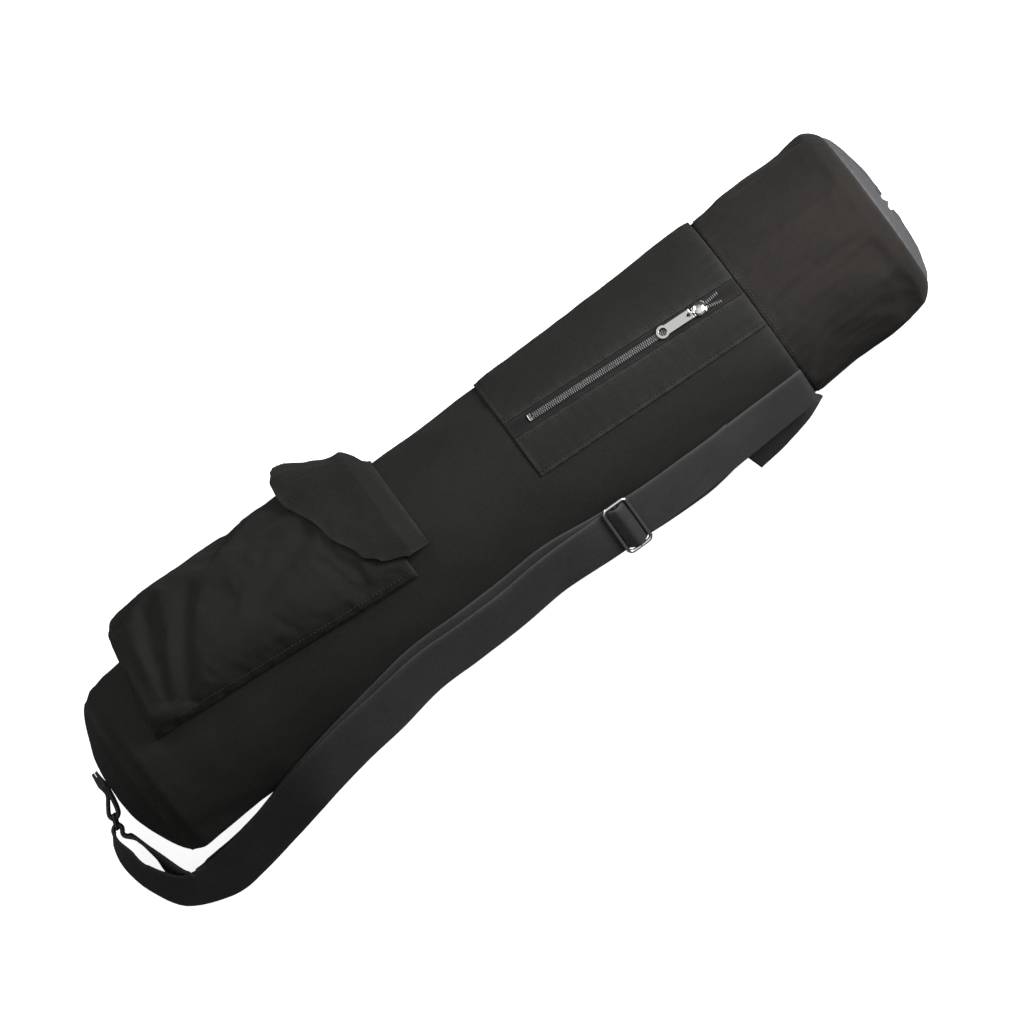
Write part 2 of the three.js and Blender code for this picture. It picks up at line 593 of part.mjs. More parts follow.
plate.lineTo(-lugRadius - PIN_CLEARANCE, -GAP_HALF);
plate.lineTo(0, -GAP_HALF);
plate.holes.push(new THREE.Path().absarc(tipX, 0, TIP_HOLE, 0, 2 * Math.PI));
const plateForm = { depth: PULL_THICKNESS, bevelEnabled: false, curveSegments: 12 };
const pullPlate = new THREE.ExtrudeGeometry(plate, plateForm).translate(0, 0, -PULL_THICKNESS / 2);
const pin = new THREE.CylinderGeometry(PIN_RADIUS, PIN_RADIUS, NECK * 2, 12);
add("zip_pull", joined(pullPlate, pin), nickel, pullGroup);

// Strap: one length of webbing laid along a route of places. A place gives the way its edge
// faces, or the turn of its face about a level heading.
function strapAlong(places, width, substeps) {
  const curve = new THREE.CatmullRomCurve3(places.map((place) => place.at), false, "centripetal");
  const edges = places.map(({ edge, turn }, i) =>
    edge ?? turnedEdge(curve.getTangent(i / (places.length - 1)), turn));
  const along = stops(0, 1, 1 / ((places.length - 1) * substeps));
  return cutCloth(along, [-0.5, 0.5], (t, across, outer) => {
    const spot = t * (places.length - 1);
    const before = Math.min(Math.floor(spot), places.length - 2);
    const heading = curve.getTangent(t);
    const edge = squared(edges[before].clone().lerp(edges[before + 1], spot - before), heading);
    const face = heading.clone().cross(edge);
    const point = curve.getPoint(t).addScaledVector(edge, across * width);
    return point.addScaledVector(face, outer ? WEBBING / 2 : -WEBBING / 2);
  });
}

function turnedEdge(heading, turn) {
  const side = new THREE.Vector3(0, 0, 1).cross(heading).normalize();
  return side.multiplyScalar(cosine(turn)).addScaledVector(new THREE.Vector3(0, 0, 1), -sine(turn));
}

// A direction made square to a heading
function squared(direction, heading) {
  return direction.clone().addScaledVector(heading, -direction.dot(heading)).normalize();
}

// A place on the bag's side for the lower run (0) or the upper run (1), lifted off its own face
function onFlank(x, run, lift = 0) {
  const along = share(x, BASE_SEAM, COLLAR_SEAM);
  const [edge, tilt, slip, stack] = ["edge", "tilt", "slip", "stack"].map((column) =>
    readTable(FLANK_ROUTE, "along", column, along));
  const rest = girthAt(x) + LAYER_GAP + WEBBING / 2;
  const over = run * stack * (WEBBING + STRAP_GAP) + lift;
  const slid = (0.5 + run * slip) * STRAP_WIDTH;
  const at = axisAt(x);
  at.y -= rest * sine(edge) + over * sine(tilt) + slid * cosine(tilt);
  at.z += rest * cosine(edge) + over * cosine(tilt) - slid * sine(tilt);
  return { at, edge: new THREE.Vector3(0, -cosine(tilt), -sine(tilt)) };
}

function pastBase({ past, out, up, turn }) {
  const [x, y, z] = [BASE_TIP - past * BAG_RADIUS, -out * BAG_RADIUS, up * BAG_RADIUS];
  return { at: new THREE.Vector3(x, y, z), turn };
}

// Ring at the base tab: its two long bars stand upright, the tab round one, the strap round the other
const RING_OUT = 0.31;
const RING_UP = 0.5;
const RING_STAND_OFF = 0.6;
const ringLead = new THREE.Vector3(-0.36, -0.93, 0).normalize();
const ringSide = new THREE.Vector3(ringLead.y, -ringLead.x, 0);
const turnRadius = WIRE + TURN_GAP + WEBBING / 2;
const tabFace = BASE_TIP - LAYER_GAP - WEBBING / 2;
const ringCentre = new THREE.Vector3(
  tabFace - turnRadius - RING_WIDTH * RING_STAND_OFF,
  -RING_OUT * BAG_RADIUS,
  RING_UP * BAG_RADIUS,
);

// The five places of a turn round an upright bar, seen from the side it leaves by
function roundBar(bar, leave) {
  const spot = (side, lead) => ({
    at: bar.clone().addScaledVector(ringSide, side * turnRadius).addScaledVector(ringLead, lead),
    turn: 90,
  });
  const away = leave * turnRadius;
  return [spot(1, 1.6 * away), spot(1, 0), spot(0, -away), spot(-1, 0), spot(-1, 1.6 * away)];
}

const strapBar = ringCentre.clone().addScaledVector(ringLead, RING_WIDTH / 2);
const tabBar = ringCentre.clone().addScaledVector(ringLead, -RING_WIDTH / 2);
const FLANK_STEP = 45;
const slideX = COLLAR_SEAM - SLIDE_AT;
const slideLift = WIRE + TURN_GAP + WEBBING / 2;
const slideReach = SLIDE_LENGTH / 2 - WIRE;
const slideHump = [[-1.5, 0], [-0.88, 0], [-0.42, 1.35], [0, 2.1], [0.42, 1.35], [0.88, 0], [1.5, 0]];
const lowerStart = COLLAR_SEAM - STRAP_END;
const flankEnd = mix(BASE_SEAM, COLLAR_SEAM, FLANK_ROUTE[1].along);
add("shoulder_strap", strapAlong([
  ...stops(lowerStart, flankEnd, FLANK_STEP).map((x) => onFlank(x, 0)),
  ...INNER_RUN.map(pastBase),
  ...roundBar(strapBar, 1).reverse(),
  ...OUTER_RUN.map(pastBase),
  ...stops(flankEnd, slideX - slideReach * 2.4, FLANK_STEP).map((x) => onFlank(x, 1)),
  ...slideHump.map(([reach, rise]) => onFlank(slideX + reach * slideReach, 1, rise * slideLift)),
  ...stops(slideX + slideReach * 2.4, COLLAR_SEAM - PIECE_GAP, FLANK_STEP).map((x) => onFlank(x, 1)),
], STRAP_WIDTH, 2), webbing);

// A wire bent to a rounded rectangle, length along X and width along Y
function wireFrame(length, width, wire) {
  const SQUARENESS = 10;
  const path = (turn) => {
    const [x, y] = [Math.cos(turn), Math.sin(turn)];
    const reach = (Math.abs(x) ** SQUARENESS + Math.abs(y) ** SQUARENESS) ** (-1 / SQUARENESS);
    return new THREE.Vector2((x * reach * length) / 2, (y * reach * width) / 2);
  };
  const RING = 10;
  return bent(new THREE.TorusGeometry(RING, wire, 5, 32), (point) => {
    const turn = Math.atan2(point.y, point.x);
    const off = Math.hypot(point.x, point.y) - RING;
    const ahead = path(turn + 0.02).sub(path(turn - 0.02)).normalize();
    const spot = path(turn);
    return new THREE.Vector3(spot.x + ahead.y * off, spot.y - ahead.x * off, point.z);
  });
}

function placed(geometry, centre, xAxis, yAxis) {
  const zAxis = xAxis.clone().cross(yAxis);
  const turnedFrame = new THREE.Matrix4().makeBasis(xAxis, yAxis, zAxis).setPosition(centre);
  return welded(geometry.applyMatrix4(turnedFrame));
}

// Strap slide: a wire frame over the upper run, with a middle bar under the hump
const slideSpot = onFlank(slideX, 1, slideLift);
const slideHeading = onFlank(slideX + 1, 1).at.sub(onFlank(slideX - 1, 1).at).normalize();
const slideAcross = squared(slideSpot.edge, slideHeading);
const slideWidth = STRAP_WIDTH + 2 * (WIRE + TURN_GAP);
const slideBar = new THREE.CylinderGeometry(WIRE, WIRE, slideWidth, 6);
const slide = joined(wireFrame(SLIDE_LENGTH - 2 * WIRE, slideWidth, WIRE), slideBar);
add("strap_slide", placed(slide, slideSpot.at, slideHeading, slideAcross), nickel);

const upright = new THREE.Vector3(0, 0, 1);
const ringHeight = STRAP_WIDTH + 2 * (WIRE + TURN_GAP * 2);
add("base_ring", placed(wireFrame(RING_WIDTH, ringHeight, WIRE), ringCentre, ringLead, upright), blackWire);

// Base tab: webbing folded round the ring and sewn to the middle of the base
const TAB_RISE = 0.07;
const TAB_ENDS = [0.11, -0.05];
const tabPlace = (out, side) => ({
  at: new THREE.Vector3(
    tabFace - side * (WEBBING + PIECE_GAP),
    out * BAG_RADIUS,
    ringCentre.z + TAB_RISE * BAG_RADIUS * share(out, TAB_ENDS[1] * 2, TAB_ENDS[0]),
  ),
  turn: 90,
});
add("base_tab", strapAlong([
  ...TAB_ENDS.map((out) => tabPlace(out, 0)),
  ...roundBar(tabBar, -1).slice(1, 4).reverse(),
  ...TAB_ENDS.map((out) => tabPlace(out, 1)).reverse(),
], STRAP_WIDTH, 2), webbing);

add("seam_tail", strapAlong(TAIL_ROUTE.map(({ back, out, up, turn }) => ({
  at: new THREE.Vector3(
    COLLAR_SEAM - PIECE_GAP - back * TAIL_LENGTH,
    -out * BAG_RADIUS,
    up * BAG_RADIUS,
  ),
  turn,
})), STRAP_WIDTH, 2), webbing);

export default bag;
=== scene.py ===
import math
import bmesh
import bpy
from mathutils import Matrix, Vector, noise


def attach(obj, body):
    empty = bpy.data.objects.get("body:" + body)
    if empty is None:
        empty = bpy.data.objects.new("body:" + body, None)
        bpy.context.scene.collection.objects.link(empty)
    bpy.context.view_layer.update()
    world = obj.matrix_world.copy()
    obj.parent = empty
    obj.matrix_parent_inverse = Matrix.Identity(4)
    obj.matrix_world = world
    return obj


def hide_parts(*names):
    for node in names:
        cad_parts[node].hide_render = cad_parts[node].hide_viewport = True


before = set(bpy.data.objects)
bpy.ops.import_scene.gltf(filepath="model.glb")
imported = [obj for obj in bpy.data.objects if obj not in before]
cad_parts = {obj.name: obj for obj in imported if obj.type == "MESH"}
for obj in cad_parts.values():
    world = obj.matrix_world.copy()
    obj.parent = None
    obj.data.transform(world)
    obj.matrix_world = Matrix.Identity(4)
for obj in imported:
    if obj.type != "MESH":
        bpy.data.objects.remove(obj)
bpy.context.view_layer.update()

scene = bpy.context.scene
scene.view_settings.view_transform = "Standard"

# The bag lies on a plain pale surface and is seen from straight above through a long lens,
# with its mouth end turned up to the right. A soft light hangs low over the mouth end, a weaker one
# stands on the pocket side, and the sky is bright only overhead.
VIEW_WIDTH = 0.7936
CAMERA_HEIGHT = 8.0
MID_HEIGHT = 0.08
camera_data = bpy.data.cameras.new("camera")
camera_data.sensor_width = 36
camera_data.lens = 36 * (CAMERA_HEIGHT - MID_HEIGHT) / VIEW_WIDTH
camera = bpy.data.objects.new("camera", camera_data)
camera.location = (0.0012, -0.0153, CAMERA_HEIGHT)
camera.rotation_euler = (0, 0, math.radians(-36.5))
scene.collection.objects.link(camera)
scene.camera = camera


def soft_light(name, place, aim, width, power):
    light = bpy.data.lights.new(name, "AREA")
    light.shape = "DISK"
    light.size = width
    light.energy = power
    lamp = bpy.data.objects.new(name, light)
    lamp.location = place
    lamp.rotation_euler = (Vector(aim) - Vector(place)).to_track_quat("-Z", "Y").to_euler()
    scene.collection.objects.link(lamp)


soft_light("key_light", (0.62, 0.08, 0.66), (0.15, 0, 0.1), 0.4, 8.4)
soft_light("fill_light", (-0.3, 0.75, 0.55), (-0.15, 0.08, 0.1), 0.5, 3.2)
sky = bpy.data.worlds.new("studio")
sky.use_nodes = True
sky.node_tree.nodes["Background"].inputs["Color"].default_value = (1, 1, 1, 1)
sky_way = sky.node_tree.nodes.new("ShaderNodeTexCoord")
sky_split = sky.node_tree.nodes.new("ShaderNodeSeparateXYZ")
overhead = sky.node_tree.nodes.new("ShaderNodeMapRange")
for socket, value in (("From Min", 0.6), ("From Max", 0.9), ("To Min", 0.06), ("To Max", 0.85)):
    overhead.inputs[socket].default_value = value
sky.node_tree.links.new(sky_way.outputs["Generated"], sky_split.inputs[0])
sky.node_tree.links.new(sky_split.outputs["Z"], overhead.inputs["Value"])
sky.node_tree.links.new(overhead.outputs["Result"], sky.node_tree.nodes["Background"].inputs["Strength"])
scene.world = sky

floor_mesh = bmesh.new()
bmesh.ops.create_grid(floor_mesh, x_segments=1, y_segments=1, size=6)
floor_data = bpy.data.meshes.new("floor")
floor_mesh.to_mesh(floor_data)
floor = bpy.data.objects.new("floor", floor_data)
scene.collection.objects.link(floor)
floor_paint = bpy.data.materials.new("floor_paint")
floor_paint.use_nodes = True
floor_paint.node_tree.nodes["Principled BSDF"].inputs["Base Color"].default_value = (0.9, 0.9, 0.9, 1)
floor_paint.node_tree.nodes["Principled BSDF"].inputs["Roughness"].default_value = 0.9
floor_paint.node_tree.nodes["Principled BSDF"].inputs["Emission Color"].default_value = (1, 1, 1, 1)
floor_paint.node_tree.nodes["Principled BSDF"].inputs["Emission Strength"].default_value = 0.86
floor_data.materials.append(floor_paint)
floor.visible_diffuse = False
floor.visible_glossy = False

# The tube: one panel of heavy charcoal cotton canvas sewn into a sleeve and stuffed by the mat.
# It tapers towards the base, is pressed flat where it lies, and has soft dents and creases.
LENGTH = 0.757
RADIUS = 0.0825
SEAT = 0.005
CANVAS = 0.0016
LAYER = 0.0006
BASE_TIP = -LENGTH / 2
MOUTH_TIP = LENGTH / 2
BASE_SEAM = BASE_TIP + 0.024
SHOULDER = MOUTH_TIP - 0.029
COLLAR_SEAM = MOUTH_TIP - 0.134
SLEEVE_SECTIONS = [
    {"along": 0.0, "girth": 0.85, "aside": 0.1},
    {"along": 0.031, "girth": 0.857, "aside": 0.096},
    {"along": 0.048, "girth": 0.915, "aside": 0.08},
    {"along": 0.066, "girth": 0.925, "aside": 0.06},
    {"along": 0.12, "girth": 0.935, "aside": 0.032},
    {"along": 0.17, "girth": 0.955, "aside": 0.03},
    {"along": 0.275, "girth": 0.985, "aside": 0.03},
    {"along": 0.394, "girth": 1.0, "aside": 0.03},
    {"along": 0.63, "girth": 1.0, "aside": 0.034},
    {"along": 0.71, "girth": 1.0, "aside": 0.022},
    {"along": 0.82, "girth": 1.0, "aside": -0.006},
    {"along": 0.9, "girth": 0.997, "aside": -0.04},
    {"along": 1.0, "girth": 0.99, "aside": -0.06},
]
SLEEVE_DENTS = [
    {"along": 0.07, "around": -38, "deep": 0.034, "long": 0.075, "wide": 0.016, "slant": 34},
    {"along": 0.1, "around": -70, "deep": 0.03, "long": 0.06, "wide": 0.02, "slant": -28},
    {"along": 0.055, "around": 62, "deep": 0.034, "long": 0.03, "wide": 0.024, "slant": 60},
    {"along": 0.47, "around": -30, "deep": 0.02, "long": 0.05, "wide": 0.016, "slant": 40},
    {"along": 0.53, "around": 66, "deep": 0.024, "long": 0.07, "wide": 0.022, "slant": -30},
    {"along": 0.6, "around": -55, "deep": 0.022, "long": 0.06, "wide": 0.02, "slant": -35},
    {"along": 0.87, "around": -44, "deep": 0.034, "long": 0.04, "wide": 0.016, "slant": 42},
    {"along": 0.9, "around": -66, "deep": 0.03, "long": 0.035, "wide": 0.014, "slant": 20},
    {"along": 0.91, "around": 48, "deep": 0.024, "long": 0.05, "wide": 0.024, "slant": -38},
    {"along": 0.985, "around": -88, "deep": 0.05, "long": 0.03, "wide": 0.045, "slant": 0},
]


def mix(a, b, t):
    return a + (b - a) * t


def share(value, low, high):
    return min(max((value - low) / (high - low), 0.0), 1.0)


def eased(t):
    return t * t * (3 - 2 * t)


def read_rows(rows, key, column, at):
    """One column of a table at a place along it, with an easy change between its rows."""
    if at <= rows[0][key]:
        return rows[0][column]
    for before, after in zip(rows, rows[1:]):
        if at < after[key]:
            return mix(before[column], after[column], eased(share(at, before[key], after[key])))
    return rows[-1][column]


def girth_at(x):
    return RADIUS * read_rows(SLEEVE_SECTIONS, "along", "girth", (x - BASE_TIP) / LENGTH)


def axis_at(x):
    aside = RADIUS * read_rows(SLEEVE_SECTIONS, "along", "aside", (x - BASE_TIP) / LENGTH)
    return Vector((x, -aside, girth_at(x) - SEAT))


def dent_at(x, around):
    depth = 0
    for dent in SLEEVE_DENTS:
        along = (x - BASE_TIP) / LENGTH - dent["along"]
        round_by = math.radians(around - dent["around"]) * RADIUS / LENGTH
        turn = math.radians(dent["slant"])
        down = (along * math.cos(turn) + round_by * math.sin(turn)) / dent["long"]
        over = (round_by * math.cos(turn) - along * math.sin(turn)) / dent["wide"]
        depth += dent["deep"] * RADIUS * math.exp(-down * down - over * over)
    return depth


def body_skin(x, around, lift=0.0):
    """A point on the stuffed sleeve, lifted off it. Around is in degrees from the top to the pockets."""
    reach = girth_at(x) + lift - dent_at(x, around)
    turn = math.radians(around)
    point = axis_at(x) + Vector((0, reach * math.sin(turn), reach * math.cos(turn)))
    point.z = max(point.z, 0.0)
    return point


def around_at(x, y):
    return math.degrees(math.asin((y - axis_at(x).y) / girth_at(x)))


def rumple(point, size, stretch=(1, 1, 1)):
    """Soft uneven waves in cloth, about size across, from -1 to 1."""
    spot = Vector((point.x * stretch[0], point.y * stretch[1], point.z * stretch[2])) / size
    return noise.noise(spot) + 0.5 * noise.noise(spot * 2.1 + Vector((7, 3, 1)))


def seam_pull(away, run, depth=0.0012, reach=0.004, pucker=0.0005, pitch=0.011):
    """How far cloth is drawn down beside a seam: a groove, and puckers that fade out beside it."""
    away = abs(away)
    waves = math.sin(2 * math.pi * run / pitch + 2.5 * noise.noise(Vector((run / 0.03, 0.3, 0.7))))
    return depth * math.exp(-((away / reach) ** 2)) + pucker * (1 + waves) * math.exp(-away / 0.012)


def add_piece(name, mesh, smooth=True):
    """An object at the origin, from a mesh that is built in place."""
    data = bpy.data.meshes.new(name)
    mesh.to_mesh(data)
    mesh.free()
    if smooth:
        data.shade_smooth()
    piece = bpy.data.objects.new(name, data)
    scene.collection.objects.link(piece)
    return piece


def lay_cloth(name, segments, rule, closed=False):
    """A grid of cloth laid in place by a rule, its UVs measured along it in metres, worn at its edges."""
    rows, columns = segments
    grid = bmesh.new()
    bmesh.ops.create_grid(grid, x_segments=rows, y_segments=columns, size=0.5)
    cut = grid.loops.layers.uv.new("cut")
    worn = grid.verts.layers.float.new("worn")
    spots = {(round((v.co.x + 0.5) * rows), round((v.co.y + 0.5) * columns)): v for v in grid.verts}
    for (i, j), vert in spots.items():
        vert.co = rule(i / rows, j / columns)
    along, across = [0.0], [0.0]
    for i in range(rows):
        along.append(along[-1] + (spots[i + 1, columns // 2].co - spots[i, columns // 2].co).length)
    for j in range(columns):
        across.append(across[-1] + (spots[rows // 2, j + 1].co - spots[rows // 2, j].co).length)
    place = {}
    for (i, j), vert in spots.items():
        place[vert] = (along[i], across[j])
        edge = min(along[i], along[-1] - along[i])
        if not closed:
            edge = min(edge, across[j], across[-1] - across[j])
        vert[worn] = math.exp(-edge / 0.003) * (0.7 + 0.5 * noise.noise(vert.co / 0.012))
    for face in grid.faces:
        for loop in face.loops:
            loop[cut].uv = place[loop.vert]
    if closed:
        bmesh.ops.remove_doubles(grid, verts=grid.verts, dist=2e-5)
    return add_piece(name, grid)


def settle(piece, is_sewn, grow, push, cap, bend=0.6):
    """Lets sewn-down cloth find its own wrinkles. It grows and is pushed out, and moves no more than cap."""
    sewn = piece.vertex_groups.new(name="sewn")
    sewn.add([vert.index for vert in piece.data.vertices if is_sewn(vert.co)], 1.0, "REPLACE")
    drape = piece.modifiers.new("drape", "CLOTH")
    drape.settings.quality = 5
    drape.settings.vertex_group_mass = "sewn"
    drape.settings.shrink_min = -grow
    drape.settings.tension_stiffness = 30
    drape.settings.compression_stiffness = 30
    drape.settings.shear_stiffness = 15
    drape.settings.bending_stiffness = bend
    drape.settings.use_pressure = True
    drape.settings.uniform_pressure_force = push
    drape.settings.effector_weights.gravity = 0
    drape.collision_settings.use_collision = False
    for step in range(1, 21):
        scene.frame_set(step)
    moved = piece.evaluated_get(bpy.context.evaluated_depsgraph_get()).to_mesh()
    shifts = [after.co - before.co for before, after in zip(piece.data.vertices, moved.vertices)]
    piece.modifiers.remove(drape)
    piece.vertex_groups.clear()
    for vert, shift in zip(piece.data.vertices, shifts):
        vert.co += shift * min(1, cap / max(shift.length, 1e-9))
        vert.co.z = max(vert.co.z, 0.0)
    smoothed = bmesh.new()
    smoothed.from_mesh(piece.data)
    inner = [vert for vert in smoothed.verts if not vert.is_boundary]
    bmesh.ops.smooth_vert(smoothed, verts=inner, factor=0.4,
                          use_axis_x=True, use_axis_y=True, use_axis_z=True)
    smoothed.to_mesh(piece.data)
    smoothed.free()
    piece.data.shade_smooth()
    scene.frame_set(1)


def thicken(piece, thickness, offset=-1):
    wall = piece.modifiers.new("thickness", "SOLIDIFY")
    wall.thickness = thickness
    wall.offset = offset
    wall.use_even_offset = False


def group_socket(group, name, side, kind, value=None):
    socket = group.interface.new_socket(name=name, in_out=side, socket_type=kind)
    if value is not None:
        socket.default_value = value


def weave_group():
    """Plain weave on a cut's own UVs: thread relief, slubs and a light heather."""
    group = bpy.data.node_groups.new("plain_weave", "ShaderNodeTree")
    group_socket(group, "Pitch", "INPUT", "NodeSocketFloat", 0.0011)
    group_socket(group, "Dark", "INPUT", "NodeSocketColor", (0.01, 0.01, 0.01, 1))
    group_socket(group, "Light", "INPUT", "NodeSocketColor", (0.04, 0.04, 0.04, 1))
    group_socket(group, "Worn", "INPUT", "NodeSocketColor", (0.06, 0.06, 0.06, 1))
    group_socket(group, "Color", "OUTPUT", "NodeSocketColor")
    group_socket(group, "Roughness", "OUTPUT", "NodeSocketFloat")
    group_socket(group, "Height", "OUTPUT", "NodeSocketFloat")
    nodes, links = group.nodes, group.links
    inside = nodes.new("NodeGroupInput")
    outside = nodes.new("NodeGroupOutput")

    def math_node(kind, first, second=None, third=None):
        node = nodes.new("ShaderNodeMath")
        node.operation = kind
        for socket, value in zip(node.inputs, (first, second, third)):
            if isinstance(value, bpy.types.NodeSocket):
                links.new(value, socket)
            elif value is not None:
                socket.default_value = value
        return node.outputs[0]

    cut = nodes.new("ShaderNodeUVMap")
    cut.uv_map = "cut"
    split = nodes.new("ShaderNodeSeparateXYZ")
    links.new(cut.outputs["UV"], split.inputs[0])
    pitch = inside.outputs["Pitch"]
    warp, weft = (
        math_node("SINE", math_node("MULTIPLY", math_node("DIVIDE", split.outputs[way], pitch), math.pi))
        for way in ("X", "Y")
    )
    over = math_node("MULTIPLY_ADD", math_node("MULTIPLY", warp, weft), 2.5, 0.5)
    over = math_node("MINIMUM", math_node("MAXIMUM", over, 0.0), 1.0)
    warp_high = math_node("MULTIPLY", math_node("ABSOLUTE", warp), over)
    weft_high = math_node("MULTIPLY", math_node("ABSOLUTE", weft), math_node("SUBTRACT", 1.0, over))
    threads = math_node("ADD", warp_high, weft_high)

    def fibres(scale, detail, stretch):
        placing = nodes.new("ShaderNodeMapping")
        placing.inputs["Scale"].default_value = stretch
        links.new(cut.outputs["UV"], placing.inputs["Vector"])
        grain = nodes.new("ShaderNodeTexNoise")
        grain.inputs["Scale"].default_value = scale
        grain.inputs["Detail"].default_value = detail
        links.new(placing.outputs["Vector"], grain.inputs["Vector"])
        return grain.outputs["Fac"]

    slub_along = fibres(900, 2, (0.12, 1, 1))
    slub_across = fibres(900, 2, (1, 0.12, 1))
    heather = fibres(420, 4, (1, 1, 1))
    cloud = fibres(14, 3, (1, 1, 1))
    slubs = math_node("MULTIPLY", math_node("ADD", slub_along, slub_across), 0.5)
    tone = math_node("MULTIPLY_ADD", threads, 0.3, math_node("MULTIPLY", slubs, 0.5))
    tone = math_node("MULTIPLY_ADD", heather, 0.35, tone)
    tone = math_node("MULTIPLY_ADD", cloud, 0.35, math_node("SUBTRACT", tone, 0.28))
    blend = nodes.new("ShaderNodeMix")
    blend.data_type = "RGBA"
    links.new(tone, blend.inputs["Factor"])
    links.new(inside.outputs["Dark"], blend.inputs["A"])
    links.new(inside.outputs["Light"], blend.inputs["B"])
    rub = nodes.new("ShaderNodeAttribute")
    rub.attribute_name = "worn"
    wear = nodes.new("ShaderNodeMix")
    wear.data_type = "RGBA"
    worn_by = math_node("MULTIPLY", rub.outputs["Fac"], math_node("ADD", heather, 0.15))
    links.new(worn_by, wear.inputs["Factor"])
    links.new(blend.outputs["Result"], wear.inputs["A"])
    links.new(inside.outputs["Worn"], wear.inputs["B"])
    links.new(wear.outputs["Result"], outside.inputs["Color"])
    links.new(math_node("MULTIPLY_ADD", heather, 0.14, 0.8), outside.inputs["Roughness"])
    links.new(math_node("MULTIPLY_ADD", slubs, 0.6, threads), outside.inputs["Height"])
    return group


plain_weave = weave_group()


def woven_cloth(name, dark, light, worn, pitch, relief, sheen):
    """A woven cloth material: the weave's colour, roughness and relief, and a soft nap."""
    cloth = bpy.data.materials.new(name)
    cloth.use_nodes = True
    nodes, links = cloth.node_tree.nodes, cloth.node_tree.links
    surface = nodes["Principled BSDF"]
    weave = nodes.new("ShaderNodeGroup")
    weave.node_tree = plain_weave
    weave.inputs["Pitch"].default_value = pitch
    weave.inputs["Dark"].default_value = (*dark, 1)
    weave.inputs["Light"].default_value = (*light, 1)
    weave.inputs["Worn"].default_value = (*worn, 1)
    bump = nodes.new("ShaderNodeBump")
    bump.inputs["Strength"].default_value = 0.6
    bump.inputs["Distance"].default_value = relief
    links.new(weave.outputs["Color"], surface.inputs["Base Color"])
    links.new(weave.outputs["Roughness"], surface.inputs["Roughness"])
    links.new(weave.outputs["Height"], bump.inputs["Height"])
    links.new(bump.outputs["Normal"], surface.inputs["Normal"])
    surface.inputs["Sheen Weight"].default_value = sheen
    surface.inputs["Sheen Roughness"].default_value = 0.45
    surface.inputs["Specular IOR Level"].default_value = 0.12
    return cloth


canvas = woven_cloth("charcoal_canvas", (0.0065, 0.0065, 0.0059), (0.0262, 0.0259, 0.0236),
                     (0.044, 0.043, 0.04), 0.0013, 0.00025, 0.03)


def tube_rule(along, round_by):
    x = mix(BASE_SEAM + 0.0001, COLLAR_SEAM - 0.0001, along)
    around = -180 + 360 * round_by
    at = body_skin(x, around)
    run = math.radians(around) * RADIUS
    lift = 0.0007 * rumple(at, 0.05, (1, 1.6, 1.6)) + 0.0004 * rumple(at, 0.018, (0.7, 1, 1))
    lift -= seam_pull(x - BASE_SEAM, run, depth=0.0005, pucker=0.0003) + seam_pull(COLLAR_SEAM - x, run)
    return body_skin(x, around, lift)


tube = lay_cloth("tube_cloth", (190, 160), tube_rule, closed=True)
thicken(tube, CANVAS)
tube.data.materials.append(canvas)
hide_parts("tube")
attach(tube, "bag")

# The base: a round canvas panel set into the tube's end and pushed out by the mat, with small
# gathers where its edge is eased into the seam.
BASE_DOME = 0.024
BASE_ROUNDNESS = 0.9


def domed(out, power):
    return max(1 - min(out, 1) ** power, 0) ** (1 / power)


def disc_cloth(name, segments, rule):
    """A round panel, its rule given as a share out from the middle and an angle, on flat UVs."""
    panel = lay_cloth(name, segments, lambda a, b: rule(a, -180 + 360 * b), closed=True)
    for loop in panel.data.loops:
        spot = panel.data.vertices[loop.vertex_index].co
        panel.data.uv_layers["cut"].data[loop.index].uv = (spot.y, spot.z)
    return panel


def base_rule(out_share, around):
    out = math.sin(out_share * math.pi / 2)
    x = BASE_SEAM - BASE_DOME * max(1 - out**2, 0) ** BASE_ROUNDNESS
    centre = axis_at(x)
    run = math.radians(around) * RADIUS
    pull = seam_pull((1 - out) * RADIUS, run, depth=0.0005, pitch=0.013, pucker=0.0004)
    point = centre + (body_skin(x, around, -pull) - centre) * out
    point.x += 0.0012 * (1 + rumple(point, 0.03)) * eased(share(1 - out, 0, 0.4)) + 0.4 * pull
    return point


base = disc_cloth("base_cloth", (36, 110), base_rule)
thicken(base, CANVAS)
base.data.materials.append(canvas)
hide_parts("base_panel")
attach(base, "bag")

# The collar: a second sleeve of canvas sewn to the tube, which runs on to the mouth end and
# turns in over its shoulder.
MOUTH_DOME = 0.029
MOUTH_POWER = 2.6
COLLAR_EDGE = 0.9
TURN_END = math.acos(COLLAR_EDGE ** (MOUTH_POWER / 2))


def collar_rule(along, round_by):
    around = -180 + 360 * round_by
    run = math.radians(around) * RADIUS
    straight = share(along, 0, 0.78)
    turn = TURN_END * share(along, 0.78, 1)
    out = math.cos(turn) ** (2 / MOUTH_POWER)
    x = mix(COLLAR_SEAM + 0.0001, SHOULDER, straight) + MOUTH_DOME * math.sin(turn) ** (2 / MOUTH_POWER)
    at = body_skin(x, around)
    lift = 0.0009 * rumple(at, 0.045, (0.8, 1.3, 1.3)) + 0.0004 * rumple(at, 0.016)
    lift -= seam_pull(x - COLLAR_SEAM, run + 0.004)
    lift -= seam_pull((out - COLLAR_EDGE) * RADIUS, run, depth=0.0008, reach=0.002, pucker=0.0005)
    centre = axis_at(x)
    return centre + (body_skin(x, around, lift) - centre) * out


collar_canvas = woven_cloth("collar_canvas", (0.0068, 0.006, 0.0056), (0.0262, 0.023, 0.021),
                            (0.06, 0.056, 0.054), 0.0013, 0.00025, 0.04)


